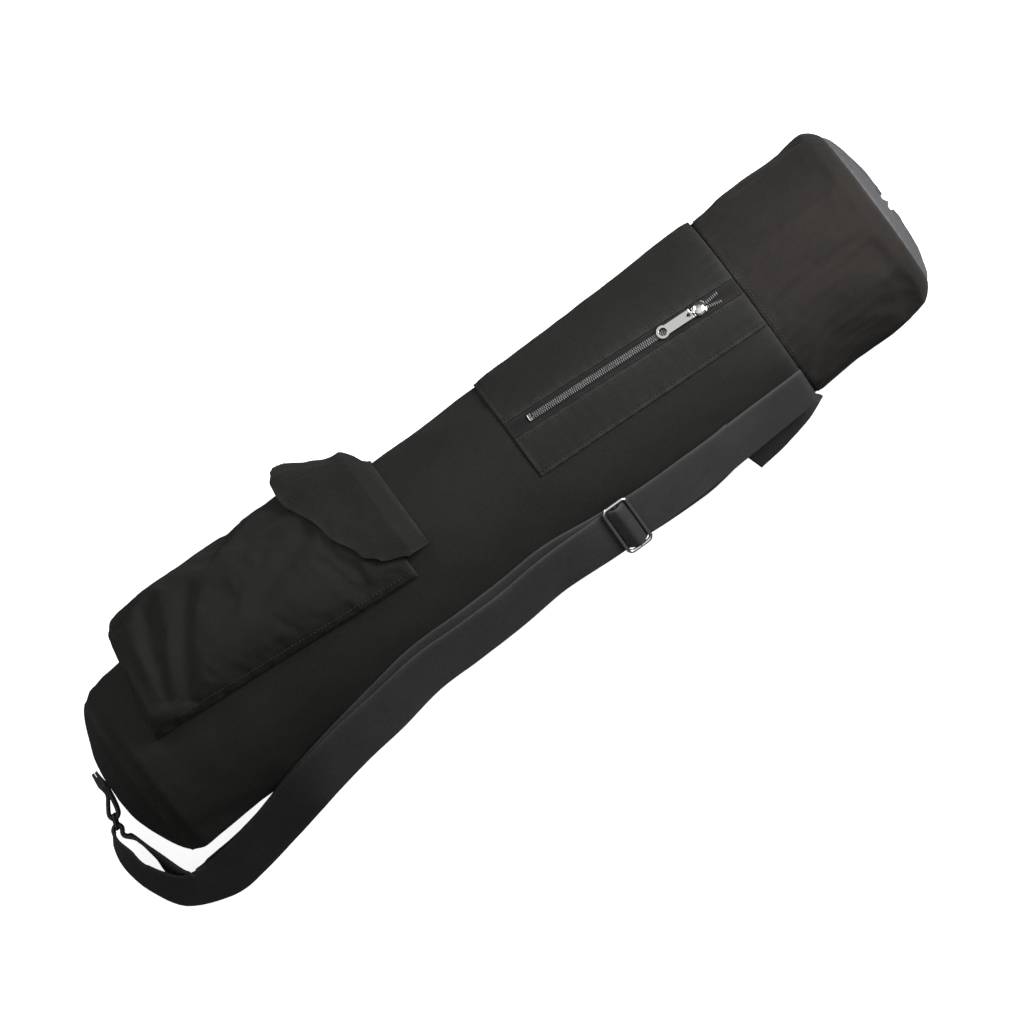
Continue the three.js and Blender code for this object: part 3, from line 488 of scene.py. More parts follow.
def speckled(name, dark, light, scale, roughness, gloss):
    """Thread or moulded coil: two tones in a fine uneven speckle."""
    material = bpy.data.materials.new(name)
    material.use_nodes = True
    nodes, links = material.node_tree.nodes, material.node_tree.links
    surface = nodes["Principled BSDF"]
    surface.inputs["Roughness"].default_value = roughness
    surface.inputs["Specular IOR Level"].default_value = gloss
    place = nodes.new("ShaderNodeTexCoord")
    speckle = nodes.new("ShaderNodeTexNoise")
    speckle.inputs["Scale"].default_value = scale
    tone = nodes.new("ShaderNodeMix")
    tone.data_type = "RGBA"
    tone.inputs["A"].default_value = (*dark, 1)
    tone.inputs["B"].default_value = (*light, 1)
    links.new(place.outputs["Object"], speckle.inputs["Vector"])
    links.new(speckle.outputs["Fac"], tone.inputs["Factor"])
    links.new(tone.outputs["Result"], surface.inputs["Base Color"])
    return material


thread = speckled("sewing_thread", (0.012, 0.0118, 0.011), (0.05, 0.049, 0.046), 1400, 0.6, 0.3)
STITCH_PITCH = 0.0033
STITCH_HALF = STITCH_PITCH * 0.33
THREAD_HALF = 0.00034


def sew(name, rows):
    """Rows of thread stitches. Each row is a list of (point, way out of the cloth) along its seam."""
    stitches = bmesh.new()
    for row in rows:
        lengths = [0.0]
        for (a, _), (b, _) in zip(row, row[1:]):
            lengths.append(lengths[-1] + (b - a).length)
        step = 0
        for i in range(int(lengths[-1] / STITCH_PITCH)):
            at = (i + 0.5) * STITCH_PITCH
            while lengths[step + 1] < at:
                step += 1
            t = (at - lengths[step]) / max(lengths[step + 1] - lengths[step], 1e-9)
            (a, up_a), (b, up_b) = row[step], row[step + 1]
            run = (b - a).normalized()
            up = up_a.lerp(up_b, t)
            side = up.cross(run).normalized()
            place = Matrix((run, side, run.cross(side))).transposed().to_4x4()
            place.translation = a.lerp(b, t) + up.normalized() * THREAD_HALF * 0.3
            place = place @ Matrix.Diagonal((STITCH_HALF, THREAD_HALF, THREAD_HALF * 0.8, 1))
            bmesh.ops.create_uvsphere(stitches, u_segments=6, v_segments=4, radius=1, matrix=place)
    piece = add_piece(name, stitches)
    piece.data.materials.append(thread)
    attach(piece, "bag")


def outward(point):
    """The way out of the stuffed bag at a point."""
    return (point - axis_at(point.x)).normalized()


def faced(points):
    """A row of stitches through points on the bag, each with its way out of the cloth."""
    return [(point, outward(point)) for point in points]


collar = lay_cloth("collar_cloth", (56, 180), collar_rule, closed=True)
settle(collar, lambda at: at.x < COLLAR_SEAM + 0.003 or at.x > SHOULDER + 0.012, 0.012, 0.0, 0.0016)
thicken(collar, CANVAS)
collar.data.materials.append(collar_canvas)
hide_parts("collar")
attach(collar, "bag")
collar_row = [collar_rule(0.028, i / 400) for i in range(401)]
sew("collar_stitches", [[(point + way * 0.0004, way) for point, way in faced(collar_row)]])

# The gathered mouth: canvas drawn up in pleats round the small hole in the middle, coloured lighter than the
# tube as painted light for the light falling on the mouth end, with its worn edges lighter still.
PLEATS = 12
MOUTH_RADIUS = 0.015
PLEAT_DEPTH = 0.0026
GATHER_RIM = COLLAR_EDGE - 0.0003 / RADIUS


def gather_rule(in_share, around):
    out = mix(MOUTH_RADIUS / RADIUS, GATHER_RIM, in_share)
    pull = eased(share(out, GATHER_RIM, MOUTH_RADIUS / RADIUS))
    x = SHOULDER + MOUTH_DOME * domed(out, MOUTH_POWER)
    centre = axis_at(x)
    point = centre + (body_skin(x, around) - centre) * out
    fold = math.radians(around * PLEATS)
    turn = math.radians(around)
    uneven = 0.7 * noise.noise(Vector((math.sin(turn) * 2, math.cos(turn) * 2, 5)))
    depth = PLEAT_DEPTH * (1 - 0.35 * in_share) * pull * (math.cos(fold) - 1)
    depth += 0.0011 * pull * (math.cos(3 * fold + 4 * uneven) - 1)
    point.x += depth + 0.0006 * rumple(point, 0.02)
    point.x -= seam_pull((GATHER_RIM - out) * RADIUS, math.radians(around) * RADIUS, pucker=0.0005)
    return point


# Painted light: these colours are raised well above the tube canvas's to stand for the light falling on the
# mouth end.
mouth_canvas_painted_light = woven_cloth("mouth_canvas_painted_light", (0.03, 0.03, 0.032), (0.11, 0.11, 0.118), (0.2, 0.2, 0.21),
                           0.0013, 0.00025, 0.1)
gather = disc_cloth("mouth_cloth", (40, 288), gather_rule)
gather.data.flip_normals()
thicken(gather, CANVAS)
gather.data.materials.append(mouth_canvas_painted_light)
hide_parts("mouth_gather")
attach(gather, "bag")

# The cargo pocket: a deep canvas patch with folded sides, sewn to the tube along three edges
# and open at its top, and creased where the cloth has slack.
POCKET_LENGTH = 0.237
POCKET_TOP = BASE_TIP + 0.293
POCKET_LOW = POCKET_TOP - POCKET_LENGTH
POCKET_DEPTH_LOW = 0.0295
POCKET_DEPTH_MOUTH = 0.0175
POCKET_NEAR_LOW = 0.006
POCKET_NEAR_HIGH = -0.012
POCKET_FAR = 125
POCKET_CORNER = 0.1
GUSSET_UP_NEAR = 0.16
GUSSET_UP_FAR = 0.055
GUSSET_ACROSS_NEAR = 0.36
GUSSET_ACROSS_FAR = 0.15
BULGE_POWER = 2.5
POCKET_CREASES = [
    {"up": 0.05, "across": 0.12, "to_up": 0.06, "to_across": 0.6, "deep": 0.2, "wide": 0.03},
    {"up": 0.1, "across": 0.1, "to_up": 0.2, "to_across": 0.52, "deep": 0.26, "wide": 0.035},
    {"up": 0.16, "across": 0.06, "to_up": 0.34, "to_across": 0.44, "deep": 0.24, "wide": 0.035},
    {"up": 0.52, "across": 0.22, "to_up": 0.84, "to_across": 0.38, "deep": 0.24, "wide": 0.045},
    {"up": 0.6, "across": 0.5, "to_up": 0.82, "to_across": 0.5, "deep": 0.16, "wide": 0.045},
]


def swollen(t, rise):
    return (1 - (1 - share(t, 0, rise)) ** BULGE_POWER) ** (1 / BULGE_POWER)


def near_seam(x):
    return around_at(x, mix(POCKET_NEAR_LOW, POCKET_NEAR_HIGH, (x - POCKET_LOW) / POCKET_LENGTH))


def crease_at(up, across):
    depth = 0
    for crease in POCKET_CREASES:
        run_up = crease["to_up"] - crease["up"]
        run_across = crease["to_across"] - crease["across"]
        length = run_up**2 + run_across**2
        run = ((up - crease["up"]) * run_up + (across - crease["across"]) * run_across) / length
        t = min(max(run, 0), 1)
        off = math.hypot(up - crease["up"] - t * run_up, across - crease["across"] - t * run_across)
        depth += crease["deep"] * math.exp(-((off / crease["wide"]) ** 2))
    return min(depth, 0.5)


def pocket_depth(x):
    return mix(POCKET_DEPTH_LOW, POCKET_DEPTH_MOUTH, share(x, POCKET_LOW, POCKET_TOP))


def side_rise(across):
    return swollen(across, GUSSET_ACROSS_NEAR) * swollen(1 - across, GUSSET_ACROSS_FAR)


def pocket_rule(up, across):
    up, across = up**1.35, mix(across, eased(across), 0.4)
    low = POCKET_LOW + POCKET_CORNER * POCKET_LENGTH * across
    x = mix(low, POCKET_TOP, up)
    around = mix(near_seam(x), POCKET_FAR, across)
    side = min(across, 1 - across)
    rise = swollen(up, mix(GUSSET_UP_NEAR, GUSSET_UP_FAR, share(across, 0, 0.6))) * side_rise(across)
    lift = LAYER + pocket_depth(x) * rise * (1 - crease_at(up, across))
    at = body_skin(x, around, lift)
    slack = eased(share(side, 0, 0.2)) * eased(share(up, 0, 0.15))
    lift += 0.0013 * slack * rumple(at, 0.032, (1.4, 0.8, 0.8)) + 0.0003 * rumple(at, 0.012)
    return body_skin(x, around, max(lift, LAYER))


pocket = lay_cloth("pocket_cloth", (120, 120), pocket_rule)


def pocket_sewn(at):
    """True on the pocket's three sewn edges and its hem."""
    low = (at - axis_at(at.x)).yz.length - girth_at(at.x) < 0.003
    return low or at.x > POCKET_TOP - 0.002


settle(pocket, pocket_sewn, 0.02, 0.4, 0.0035)
thicken(pocket, CANVAS)
pocket.data.materials.append(canvas)
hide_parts("cargo_pocket")
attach(pocket, "bag")


pocket_rows = [
    faced(pocket_rule(i / 120, 0.045) for i in range(4, 121)),
    faced(pocket_rule(0.075, i / 120) for i in range(6, 113)),
]
sew("pocket_stitches", pocket_rows)

# The pocket's flap: canvas with a stitched hem, sewn to the tube above the pocket. It lies over
# the pocket's mouth, and its far corner has sprung up from the bag.
FLAP_LENGTH = 0.066
FLAP_SET_BACK = 0.022
FLAP_HINGE = POCKET_TOP + FLAP_SET_BACK
FLAP_NEAR = 0.003
FLAP_FREE_FROM = 46
FLAP_FREE = 0.47
FLAP_CUT = [
    {"across": 0.0, "length": 0.3},
    {"across": 0.05, "length": 0.6},
    {"across": 0.1, "length": 0.75},
    {"across": 0.25, "length": 0.93},
    {"across": 0.53, "length": 1.14},
    {"across": 0.65, "length": 1.12},
    {"across": 0.75, "length": 1.05},
    {"across": 0.87, "length": 0.97},
    {"across": 1.0, "length": 0.84},
]


def flap_place(down, across, lift_more=0.0):
    away = down * FLAP_LENGTH * read_rows(FLAP_CUT, "across", "length", across)
    x = FLAP_HINGE - away
    around = mix(around_at(x, FLAP_NEAR), POCKET_FAR, across)
    over = eased(share(away, 0, FLAP_SET_BACK * 0.8))
    crown = pocket_depth(x) * side_rise(share(around, near_seam(x) - 4, POCKET_FAR + 4))
    lift = LAYER + over * (crown + LAYER * 3) + CANVAS + lift_more
    held = body_skin(x, around, lift)
    if around < FLAP_FREE_FROM:
        return held
    leave = body_skin(x, FLAP_FREE_FROM, lift)
    run = math.radians(around - FLAP_FREE_FROM) * (RADIUS + lift)
    turn = math.radians(FLAP_FREE_FROM)
    leave.y += run * math.cos(turn)
    leave.z -= run * math.sin(turn)
    return held.lerp(leave, FLAP_FREE * eased(share(away / FLAP_LENGTH, 0.25, 1)))


def flap_rule(down, across):
    at = flap_place(down, across)
    hem = 1 - math.exp(-((min(1 - down, across * 2.6, (1 - across) * 2.6) * FLAP_LENGTH / 0.003) ** 2))
    wave = 0.0012 * rumple(at, 0.028) * eased(share(down, 0, 0.5)) + 0.0004 * rumple(at, 0.01)
    return flap_place(down, across, wave - 0.0004 * (1 - hem))


flap = lay_cloth("flap_cloth", (56, 130), lambda a, b: flap_rule(a, 1 - b))
settle(flap, lambda at: at.x > FLAP_HINGE - 0.006, 0.01, 0.0, 0.0012)
thicken(flap, CANVAS)
flap.data.materials.append(canvas)
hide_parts("pocket_flap")
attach(flap, "bag")
flap_rows = [
    [flap_rule(1 - inset / (FLAP_LENGTH * read_rows(FLAP_CUT, "across", "length", i / 200)), i / 200)
     for i in range(12, 196)]
    for inset in (0.0026, 0.0078)
]
flap_rows.append([flap_rule(0.05, i / 200) for i in range(4, 198)])
sew("flap_stitches", [faced(row) for row in flap_rows])

# The zip pocket: a flat canvas patch in two panels with turned edges, sewn over the tube, with
# the zip's tape in the slot that they leave.
PATCH_LENGTH = 0.209
ZIP_HEM = COLLAR_SEAM - PATCH_LENGTH
ZIP_WINDOW = 0.014
ZIP_FAR = 122
PATCH_END = COLLAR_SEAM - 0.0003
SEWN_IN = 0.0028


def zip_share(x):
    return (x - ZIP_HEM) / PATCH_LENGTH


def zip_line(x):
    return mix(0.035, 0.021, zip_share(x))


def window_near(x):
    return around_at(x, zip_line(x) - ZIP_WINDOW / 2)


def window_far(x):
    return around_at(x, zip_line(x) + ZIP_WINDOW / 2)


def zip_edge(x):
    return around_at(x, mix(-0.007, -0.016, zip_share(x)))


def patch_cloth(name, segments, near_edge, far_edge):
    """A patch between two edges on the tube's skin, with turned edges and a shallow sewn line inside them."""

    def rule(along, across):
        x = mix(ZIP_HEM, PATCH_END, along)
        around = mix(near_edge(x), far_edge(x), across)
        width = math.radians(far_edge(x) - near_edge(x)) * RADIUS
        from_near, from_far, from_hem = across * width, (1 - across) * width, x - ZIP_HEM
        at = body_skin(x, around)
        slack = 1 - math.exp(-(min(from_near, from_far, from_hem, PATCH_END - x) / 0.01) ** 2)
        lift = LAYER + CANVAS + 0.0007 * slack * (1 + rumple(at, 0.035)) + 0.0002 * rumple(at, 0.012)
        for away, run in ((from_near, x), (from_far, x), (from_hem, around / 57)):
            lift -= 0.0006 * math.exp(-(((away - SEWN_IN) / 0.0011) ** 2))
            lift -= 0.0005 * math.exp(-((away / 0.0007) ** 2))
            lift += 0.0003 * math.exp(-away / 0.006) * math.sin(run / 0.0017)
        lift -= seam_pull(COLLAR_SEAM - x, math.radians(around) * RADIUS, depth=0.0006)
        return body_skin(x, around, max(lift, LAYER + 0.0002))

    piece = lay_cloth(name, segments, rule)
    thicken(piece, CANVAS * 0.85)
    piece.data.materials.append(canvas)
    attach(piece, "bag")
    return piece


facing = patch_cloth("zip_facing_cloth", (150, 56), zip_edge, window_near)
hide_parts("zip_facing")
zip_panel = patch_cloth("zip_panel_cloth", (150, 120), window_far, lambda x: ZIP_FAR)
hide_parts("zip_pocket")


THREAD_LIFT = LAYER + CANVAS - 0.0002


def patch_row(edge, inset):
    """A row of stitches along the patch, set in from one of its edges."""
    stops = [mix(ZIP_HEM + 0.003, PATCH_END - 0.002, i / 139) for i in range(140)]
    turn = math.degrees(inset / RADIUS)
    return faced(body_skin(x, edge(x) + turn, THREAD_LIFT) for x in stops)


def hem_row(near_edge, far_edge):
    """A row of stitches across the patch, along its lower hem."""
    x = ZIP_HEM + SEWN_IN
    near, far = near_edge(x) + 2, far_edge(x) - 2
    return faced(body_skin(x, mix(near, far, i / 80), THREAD_LIFT) for i in range(81))


zip_rows = [patch_row(zip_edge, SEWN_IN), patch_row(window_near, -SEWN_IN), patch_row(window_far, SEWN_IN),
            patch_row(lambda x: ZIP_FAR, -SEWN_IN), hem_row(zip_edge, window_near),
            hem_row(window_far, lambda x: ZIP_FAR)]
sew("zip_stitches", zip_rows)

# The zip's tape: tightly woven black-brown ribbon that lies flat in the window.
TAPE = 0.0009
tape_weave = woven_cloth("zip_tape_weave", (0.005, 0.0046, 0.0045), (0.018, 0.017, 0.0165),
                         (0.03, 0.029, 0.028), 0.0007, 0.00015, 0.03)


def tape_rule(along, across):
    x = mix(ZIP_HEM, PATCH_END, along)
    around = mix(window_near(x) + 0.25, window_far(x) - 0.25, across)
    at = body_skin(x, around)
    return body_skin(x, around, LAYER + TAPE + 0.0001 * rumple(at, 0.01))


tape = lay_cloth("zip_tape_cloth", (140, 12), tape_rule)
thicken(tape, TAPE)
tape.data.materials.append(tape_weave)
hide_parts("zip_tape")
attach(tape, "bag")

# The zip's teeth: grey moulded coil, closed into one chain up to the slider and parted past it.
TOOTH_PITCH = 0.0017
CHAIN_WIDTH = 0.006
CHAIN_START = ZIP_HEM + 0.022
SLIDER_AT = CHAIN_START + 0.152
CHAIN_LIFT = LAYER + TAPE + 0.0002
TOOTH_HALF_LONG = TOOTH_PITCH * 0.36
TOOTH_HALF_ACROSS = CHAIN_WIDTH * 0.3
TOOTH_HALF_HIGH = 0.00075
SLIDER_HALF = 0.0061
coil = speckled("zip_coil", (0.035, 0.036, 0.037), (0.21, 0.215, 0.215), 260, 0.42, 0.5)


def coil_row(name, node, start, end, sides, spread):
    """Teeth set across the zip in one row for each side, each a small rounded bar."""
    teeth = bmesh.new()
    for side in sides:
        for i in range(int((end - start) / TOOTH_PITCH)):
            x = start + (i + 0.5 + 0.25 * side) * TOOTH_PITCH
            y = zip_line(x) + side * (CHAIN_WIDTH * 0.2 + spread(x))
            at = body_skin(x, around_at(x, y), CHAIN_LIFT + 0.0007)
            up = outward(at)
            run = Vector((1, 0, 0))
            across = up.cross(run).normalized()
            place = Matrix((across.cross(up), across, up)).transposed().to_4x4()
            place.translation = at
            place = place @ Matrix.Diagonal((TOOTH_HALF_LONG, TOOTH_HALF_ACROSS, TOOTH_HALF_HIGH, 1))
            bmesh.ops.create_uvsphere(teeth, u_segments=8, v_segments=5, radius=1, matrix=place)
    piece = add_piece(name, teeth)
    piece.data.materials.append(coil)
    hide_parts(node)
    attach(piece, "bag")


OPEN_START = SLIDER_AT + SLIDER_HALF
OPEN_END = CHAIN_START + 0.171
coil_row("coil_closed", "zip_chain", CHAIN_START, SLIDER_AT - SLIDER_HALF, (-1, 1), lambda x: 0.0)
for end_name, end_node, end_side in (("coil_near", "zip_row_near", -1), ("coil_far", "zip_row_far", 1)):
    coil_row(end_name, end_node, OPEN_START, OPEN_END, (end_side,),
             lambda x: mix(0.0004, CHAIN_WIDTH * 0.42, share(x, OPEN_START, OPEN_END)))

# The shoulder strap: one length of dark cotton webbing from the collar seam, along the bag and
# through the slide, out past the base, round the ring, and back beneath itself to its free end.
WEBBING = 0.0025
STRAP_WIDTH = 0.038
STRAP_GAP = 0.0008
TURN_GAP = 0.00075
WIRE = 0.0015
RING_WIDTH = 0.0106
SLIDE_LENGTH = 0.024
FLANK_ROUTE = [
    {"along": 0.0, "edge": 78, "tilt": 22, "slip": 0.02, "stack": 1},
    {"along": 0.175, "edge": 62.2, "tilt": 20, "slip": 0.02, "stack": 1},
    {"along": 0.233, "edge": 50.6, "tilt": 19, "slip": 0.05, "stack": 1},
    {"along": 0.295, "edge": 42.9, "tilt": 21, "slip": 0.12, "stack": 1},
    {"along": 0.392, "edge": 36.4, "tilt": 30, "slip": 0.17, "stack": 1},
    {"along": 0.492, "edge": 36.5, "tilt": 35, "slip": 0.2, "stack": 1},
    {"along": 0.592, "edge": 34.4, "tilt": 36, "slip": 0.17, "stack": 1},
    {"along": 0.7, "edge": 39.3, "tilt": 27, "slip": 0.0, "stack": 1},
    {"along": 0.789, "edge": 44.8, "tilt": 29, "slip": -0.12, "stack": 1},
    {"along": 0.866, "edge": 42.1, "tilt": 36, "slip": -0.02, "stack": 1},
    {"along": 0.885, "edge": 42.4, "tilt": 38, "slip": 0.0, "stack": 0.8},
    {"along": 0.93, "edge": 43.9, "tilt": 40, "slip": 0.0, "stack": 0.2},
    {"along": 1.0, "edge": 45, "tilt": 42, "slip": 0.0, "stack": 0},
]
INNER_RUN = [
    {"past": -1.073, "out": 1.236, "up": 0.852, "turn": 22},
    {"past": -0.612, "out": 1.3, "up": 0.5, "turn": 27},
    {"past": -0.33, "out": 1.3, "up": 0.242, "turn": 40},
    {"past": -0.08, "out": 1.19, "up": 0.222, "turn": 60},
    {"past": -0.035, "out": 1.05, "up": 0.27, "turn": 72},
    {"past": -0.008, "out": 0.9, "up": 0.34, "turn": 80},
    {"past": 0.041, "out": 0.69, "up": 0.41, "turn": 86},
    {"past": 0.088, "out": 0.54, "up": 0.478, "turn": 90},
]
OUTER_RUN = [
    {"past": 0.241, "out": 0.558, "up": 0.46, "turn": 104},
    {"past": 0.247, "out": 0.764, "up": 0.34, "turn": 112},
    {"past": 0.172, "out": 1.0, "up": 0.25, "turn": 120},
    {"past": 0.0145, "out": 1.229, "up": 0.24, "turn": 131},
    {"past": -0.304, "out": 1.336, "up": 0.303, "turn": 145},
    {"past": -0.612, "out": 1.32, "up": 0.558, "turn": 155},
    {"past": -1.073, "out": 1.238, "up": 0.897, "turn": 158},
]
UP = Vector((0, 0, 1))


def even_stops(low, high, step):
    count = max(1, math.ceil(abs(high - low) / step - 1e-6))
    return [mix(low, high, i / count) for i in range(count + 1)]


def on_flank(x, upper, lift=0.0):
    """Where the strap's middle lies beside the bag, and the way its outer edge faces."""
    along = share(x, BASE_SEAM, COLLAR_SEAM)
    columns = ("edge", "tilt", "slip", "stack")
    edge, tilt, slip, stack = (read_rows(FLANK_ROUTE, "along", column, along) for column in columns)
    edge, tilt = math.radians(edge), math.radians(tilt)
    rest = girth_at(x) + LAYER + WEBBING / 2
    over = upper * stack * (WEBBING + STRAP_GAP) + lift
    slid = (0.5 + upper * slip) * STRAP_WIDTH
    at = axis_at(x)
    at.y -= rest * math.sin(edge) + over * math.sin(tilt) + slid * math.cos(tilt)
    at.z += rest * math.cos(edge) + over * math.cos(tilt) - slid * math.sin(tilt)
    return {"at": at, "edge": Vector((0, -math.cos(tilt), -math.sin(tilt)))}


def past_base(row):
    at = Vector((BASE_TIP - row["past"] * RADIUS, -row["out"] * RADIUS, row["up"] * RADIUS))
    return {"at": at, "turn": row["turn"]}


ring_lead = Vector((-0.36, -0.93, 0)).normalized()
ring_side = Vector((ring_lead.y, -ring_lead.x, 0))
turn_radius = WIRE + TURN_GAP + WEBBING / 2
tab_face = BASE_TIP - LAYER - WEBBING / 2
ring_centre = Vector((tab_face - turn_radius - RING_WIDTH * 0.6, -0.31 * RADIUS, 0.5 * RADIUS))


def round_bar(bar, leave):
    away = leave * turn_radius
    return [
        {"at": bar + ring_side * side * turn_radius + ring_lead * lead, "turn": 90}
        for side, lead in ((1, 1.6 * away), (1, 0), (0, -away), (-1, 0), (-1, 1.6 * away))
    ]


def route_point(places, t):
    """A smooth way through the places, t running from 0 to 1 in equal steps from place to place."""
    last = len(places) - 1
    spot = min(t, 1) * last
    first = min(int(spot), last - 1)
    w = spot - first
    p1, p2 = places[first]["at"], places[first + 1]["at"]
    p0 = places[first - 1]["at"] if first > 0 else p1 * 2 - p2
    p3 = places[first + 2]["at"] if first + 2 <= last else p2 * 2 - p1
    d0, d1, d2 = (max((a - b).length, 1e-7) ** 0.5 for a, b in ((p0, p1), (p1, p2), (p2, p3)))
    m1 = ((p1 - p0) / d0 - (p2 - p0) / (d0 + d1) + (p2 - p1) / d1) * d1
    m2 = ((p2 - p1) / d1 - (p3 - p1) / (d1 + d2) + (p3 - p2) / d2) * d1
    curve = p1 + m1 * w + (p2 * 3 - p1 * 3 - m1 * 2 - m2) * w**2
    return curve + (p1 * 2 - p2 * 2 + m1 + m2) * w**3


def route_heading(places, t):
    return (route_point(places, min(t + 1e-4, 1)) - route_point(places, max(t - 1e-4, 0))).normalized()


def strap_frame(places, t):
    """The strap's middle, the way across it and the way out of its face, at t along its route."""
    last = len(places) - 1
    spot = min(max(t, 0), 1) * last
    first = min(int(spot), last - 1)
    edges = []
    for i in (first, first + 1):
        if "edge" in places[i]:
            edges.append(places[i]["edge"])
        else:
            side = UP.cross(route_heading(places, i / last)).normalized()
            turn = math.radians(places[i]["turn"])
            edges.append(side * math.cos(turn) - UP * math.sin(turn))
    heading = route_heading(places, t)
    across = edges[0].lerp(edges[1], spot - first)
    across = (across - heading * across.dot(heading)).normalized()
    return route_point(places, t), across, heading.cross(across)


def strap_cloth(name, places, steps_each, material, camber=0.0004):
    """Webbing laid along a route: a flat band with soft round edges, slightly bowed and waved."""
    last = len(places) - 1
    rows = last * steps_each
    middles = [route_point(places, i / rows) for i in range(rows + 1)]
    lengths = [0.0]
    for a, b in zip(middles, middles[1:]):
        lengths.append(lengths[-1] + (b - a).length)
    side_shares = (-1, -0.975, -0.92, -0.75, -0.5, -0.25, 0, 0.25, 0.5, 0.75, 0.92, 0.975, 1)
    rise_shares = (0.35, 0.8, 1, 1, 1, 1, 1, 1, 1, 1, 1, 0.8, 0.35)
    outline = [(a, r) for a, r in zip(side_shares, rise_shares)]
    outline += [(a, -r) for a, r in reversed(outline)]
    band = bmesh.new()
    bmesh.ops.create_grid(band, x_segments=rows, y_segments=len(outline), size=0.5)
    cut = band.loops.layers.uv.new("cut")
    worn = band.verts.layers.float.new("worn")
    for face in band.faces:
        for loop in face.loops:
            row = round((loop.vert.co.x + 0.5) * rows)
            column = round((loop.vert.co.y + 0.5) * len(outline))
            turned_by = outline[column % len(outline)][0] * STRAP_WIDTH / 2
            on_face = column < len(outline) / 2 or column == len(outline)
            loop[cut].uv = (lengths[row], turned_by if on_face else -turned_by)
    for vert in band.verts:
        row = round((vert.co.x + 0.5) * rows)
        side, rise = outline[round((vert.co.y + 0.5) * len(outline)) % len(outline)]
        middle, across, face_way = strap_frame(places, row / rows)
        vert[worn] = 0.8 * abs(side) ** 14 + 0.25 * max(noise.noise(middle / 0.03 + across * side), 0)
        wave = 0.00035 * rumple(middle + across * side * 0.01, 0.025)
        narrow = 1 - 0.008 * (1 + noise.noise(middle / 0.02))
        bow = camber * (side * side - 0.4)
        vert.co = middle + across * side * narrow * STRAP_WIDTH / 2
        vert.co += face_way * (rise * WEBBING / 2 + bow + wave)
    bmesh.ops.remove_doubles(band, verts=band.verts, dist=1e-6)
    bmesh.ops.holes_fill(band, edges=[edge for edge in band.edges if edge.is_boundary], sides=0)
    bmesh.ops.recalc_face_normals(band, faces=band.faces)
    piece = add_piece(name, band)
    piece.data.materials.append(material)
    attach(piece, "bag")
    return piece


strap_bar = ring_centre + ring_lead * RING_WIDTH / 2
tab_bar = ring_centre - ring_lead * RING_WIDTH / 2
slide_x = COLLAR_SEAM - 0.178
slide_lift = WIRE + TURN_GAP + WEBBING / 2
slide_reach = SLIDE_LENGTH / 2 - WIRE
flank_end = mix(BASE_SEAM, COLLAR_SEAM, 0.175)
strap_route = [on_flank(x, 0) for x in even_stops(COLLAR_SEAM - 0.07, flank_end, 0.045)]
strap_route += [past_base(row) for row in INNER_RUN]
strap_route += round_bar(strap_bar, 1)[::-1]
strap_route += [past_base(row) for row in OUTER_RUN]
strap_route += [on_flank(x, 1) for x in even_stops(flank_end, slide_x - slide_reach * 2.4, 0.045)]
strap_route += [
    on_flank(slide_x + reach * slide_reach, 1, rise * slide_lift)
    for reach, rise in ((-1.5, 0), (-0.88, 0), (-0.42, 1.35), (0, 2.1), (0.42, 1.35), (0.88, 0), (1.5, 0))
]
strap_route += [on_flank(x, 1) for x in even_stops(slide_x + slide_reach * 2.4, COLLAR_SEAM - 0.0003, 0.045)]
webbing = woven_cloth("strap_webbing", (0.012, 0.012, 0.0121), (0.05, 0.0495, 0.0495),
                      (0.07, 0.07, 0.072), 0.0011, 0.00025, 0.06)
strap = strap_cloth("strap_webbing_band", strap_route, 6, webbing)
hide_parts("shoulder_strap")


def strap_row(t_from, t_to, side_from, side_to):
    """A row of stitches on the strap, from one place to another along and across it."""
    row = []
    for i in range(25):
        middle, across, face_way = strap_frame(strap_route, mix(t_from, t_to, i / 24))
        side = mix(side_from, side_to, i / 24)
        row.append((middle + across * side * STRAP_WIDTH / 2 + face_way * WEBBING * 0.5, face_way))
    return row


box_corners = ((0.982, -0.8), (0.982, 0.8), (0.996, 0.8), (0.996, -0.8), (0.982, -0.8), (0.996, 0.8))
strap_rows = [strap_row(a[0], b[0], a[1], b[1]) for a, b in zip(box_corners, box_corners[1:])]
strap_rows += [strap_row(t, t, -0.85, 0.85) for t in (0.004, 0.009)]
sew("strap_stitches", strap_rows)

# The slide: a polished nickel wire frame with a middle bar, which the webbing climbs over.
def polished(name, color, roughness, metallic):
    """Plated metal with fine rub marks that break up its gloss."""
    metal = bpy.data.materials.new(name)
    metal.use_nodes = True
    nodes, links = metal.node_tree.nodes, metal.node_tree.links
    surface = nodes["Principled BSDF"]
    surface.inputs["Base Color"].default_value = (*color, 1)
    surface.inputs["Metallic"].default_value = metallic
    place = nodes.new("ShaderNodeTexCoord")
    rub = nodes.new("ShaderNodeTexNoise")
    rub.inputs["Scale"].default_value = 700
    rub.inputs["Detail"].default_value = 6
    links.new(place.outputs["Object"], rub.inputs["Vector"])
    gloss = nodes.new("ShaderNodeMapRange")
    gloss.inputs["To Min"].default_value = roughness * 0.6
    gloss.inputs["To Max"].default_value = roughness * 1.6
    links.new(rub.outputs["Fac"], gloss.inputs["Value"])
    links.new(gloss.outputs["Result"], surface.inputs["Roughness"])
    bump = nodes.new("ShaderNodeBump")
    bump.inputs["Strength"].default_value = 0.15
    bump.inputs["Distance"].default_value = 0.00005
    links.new(rub.outputs["Fac"], bump.inputs["Height"])
    links.new(bump.outputs["Normal"], surface.inputs["Normal"])
    return metal


nickel = polished("polished_nickel", (0.82, 0.82, 0.8), 0.16, 1.0)


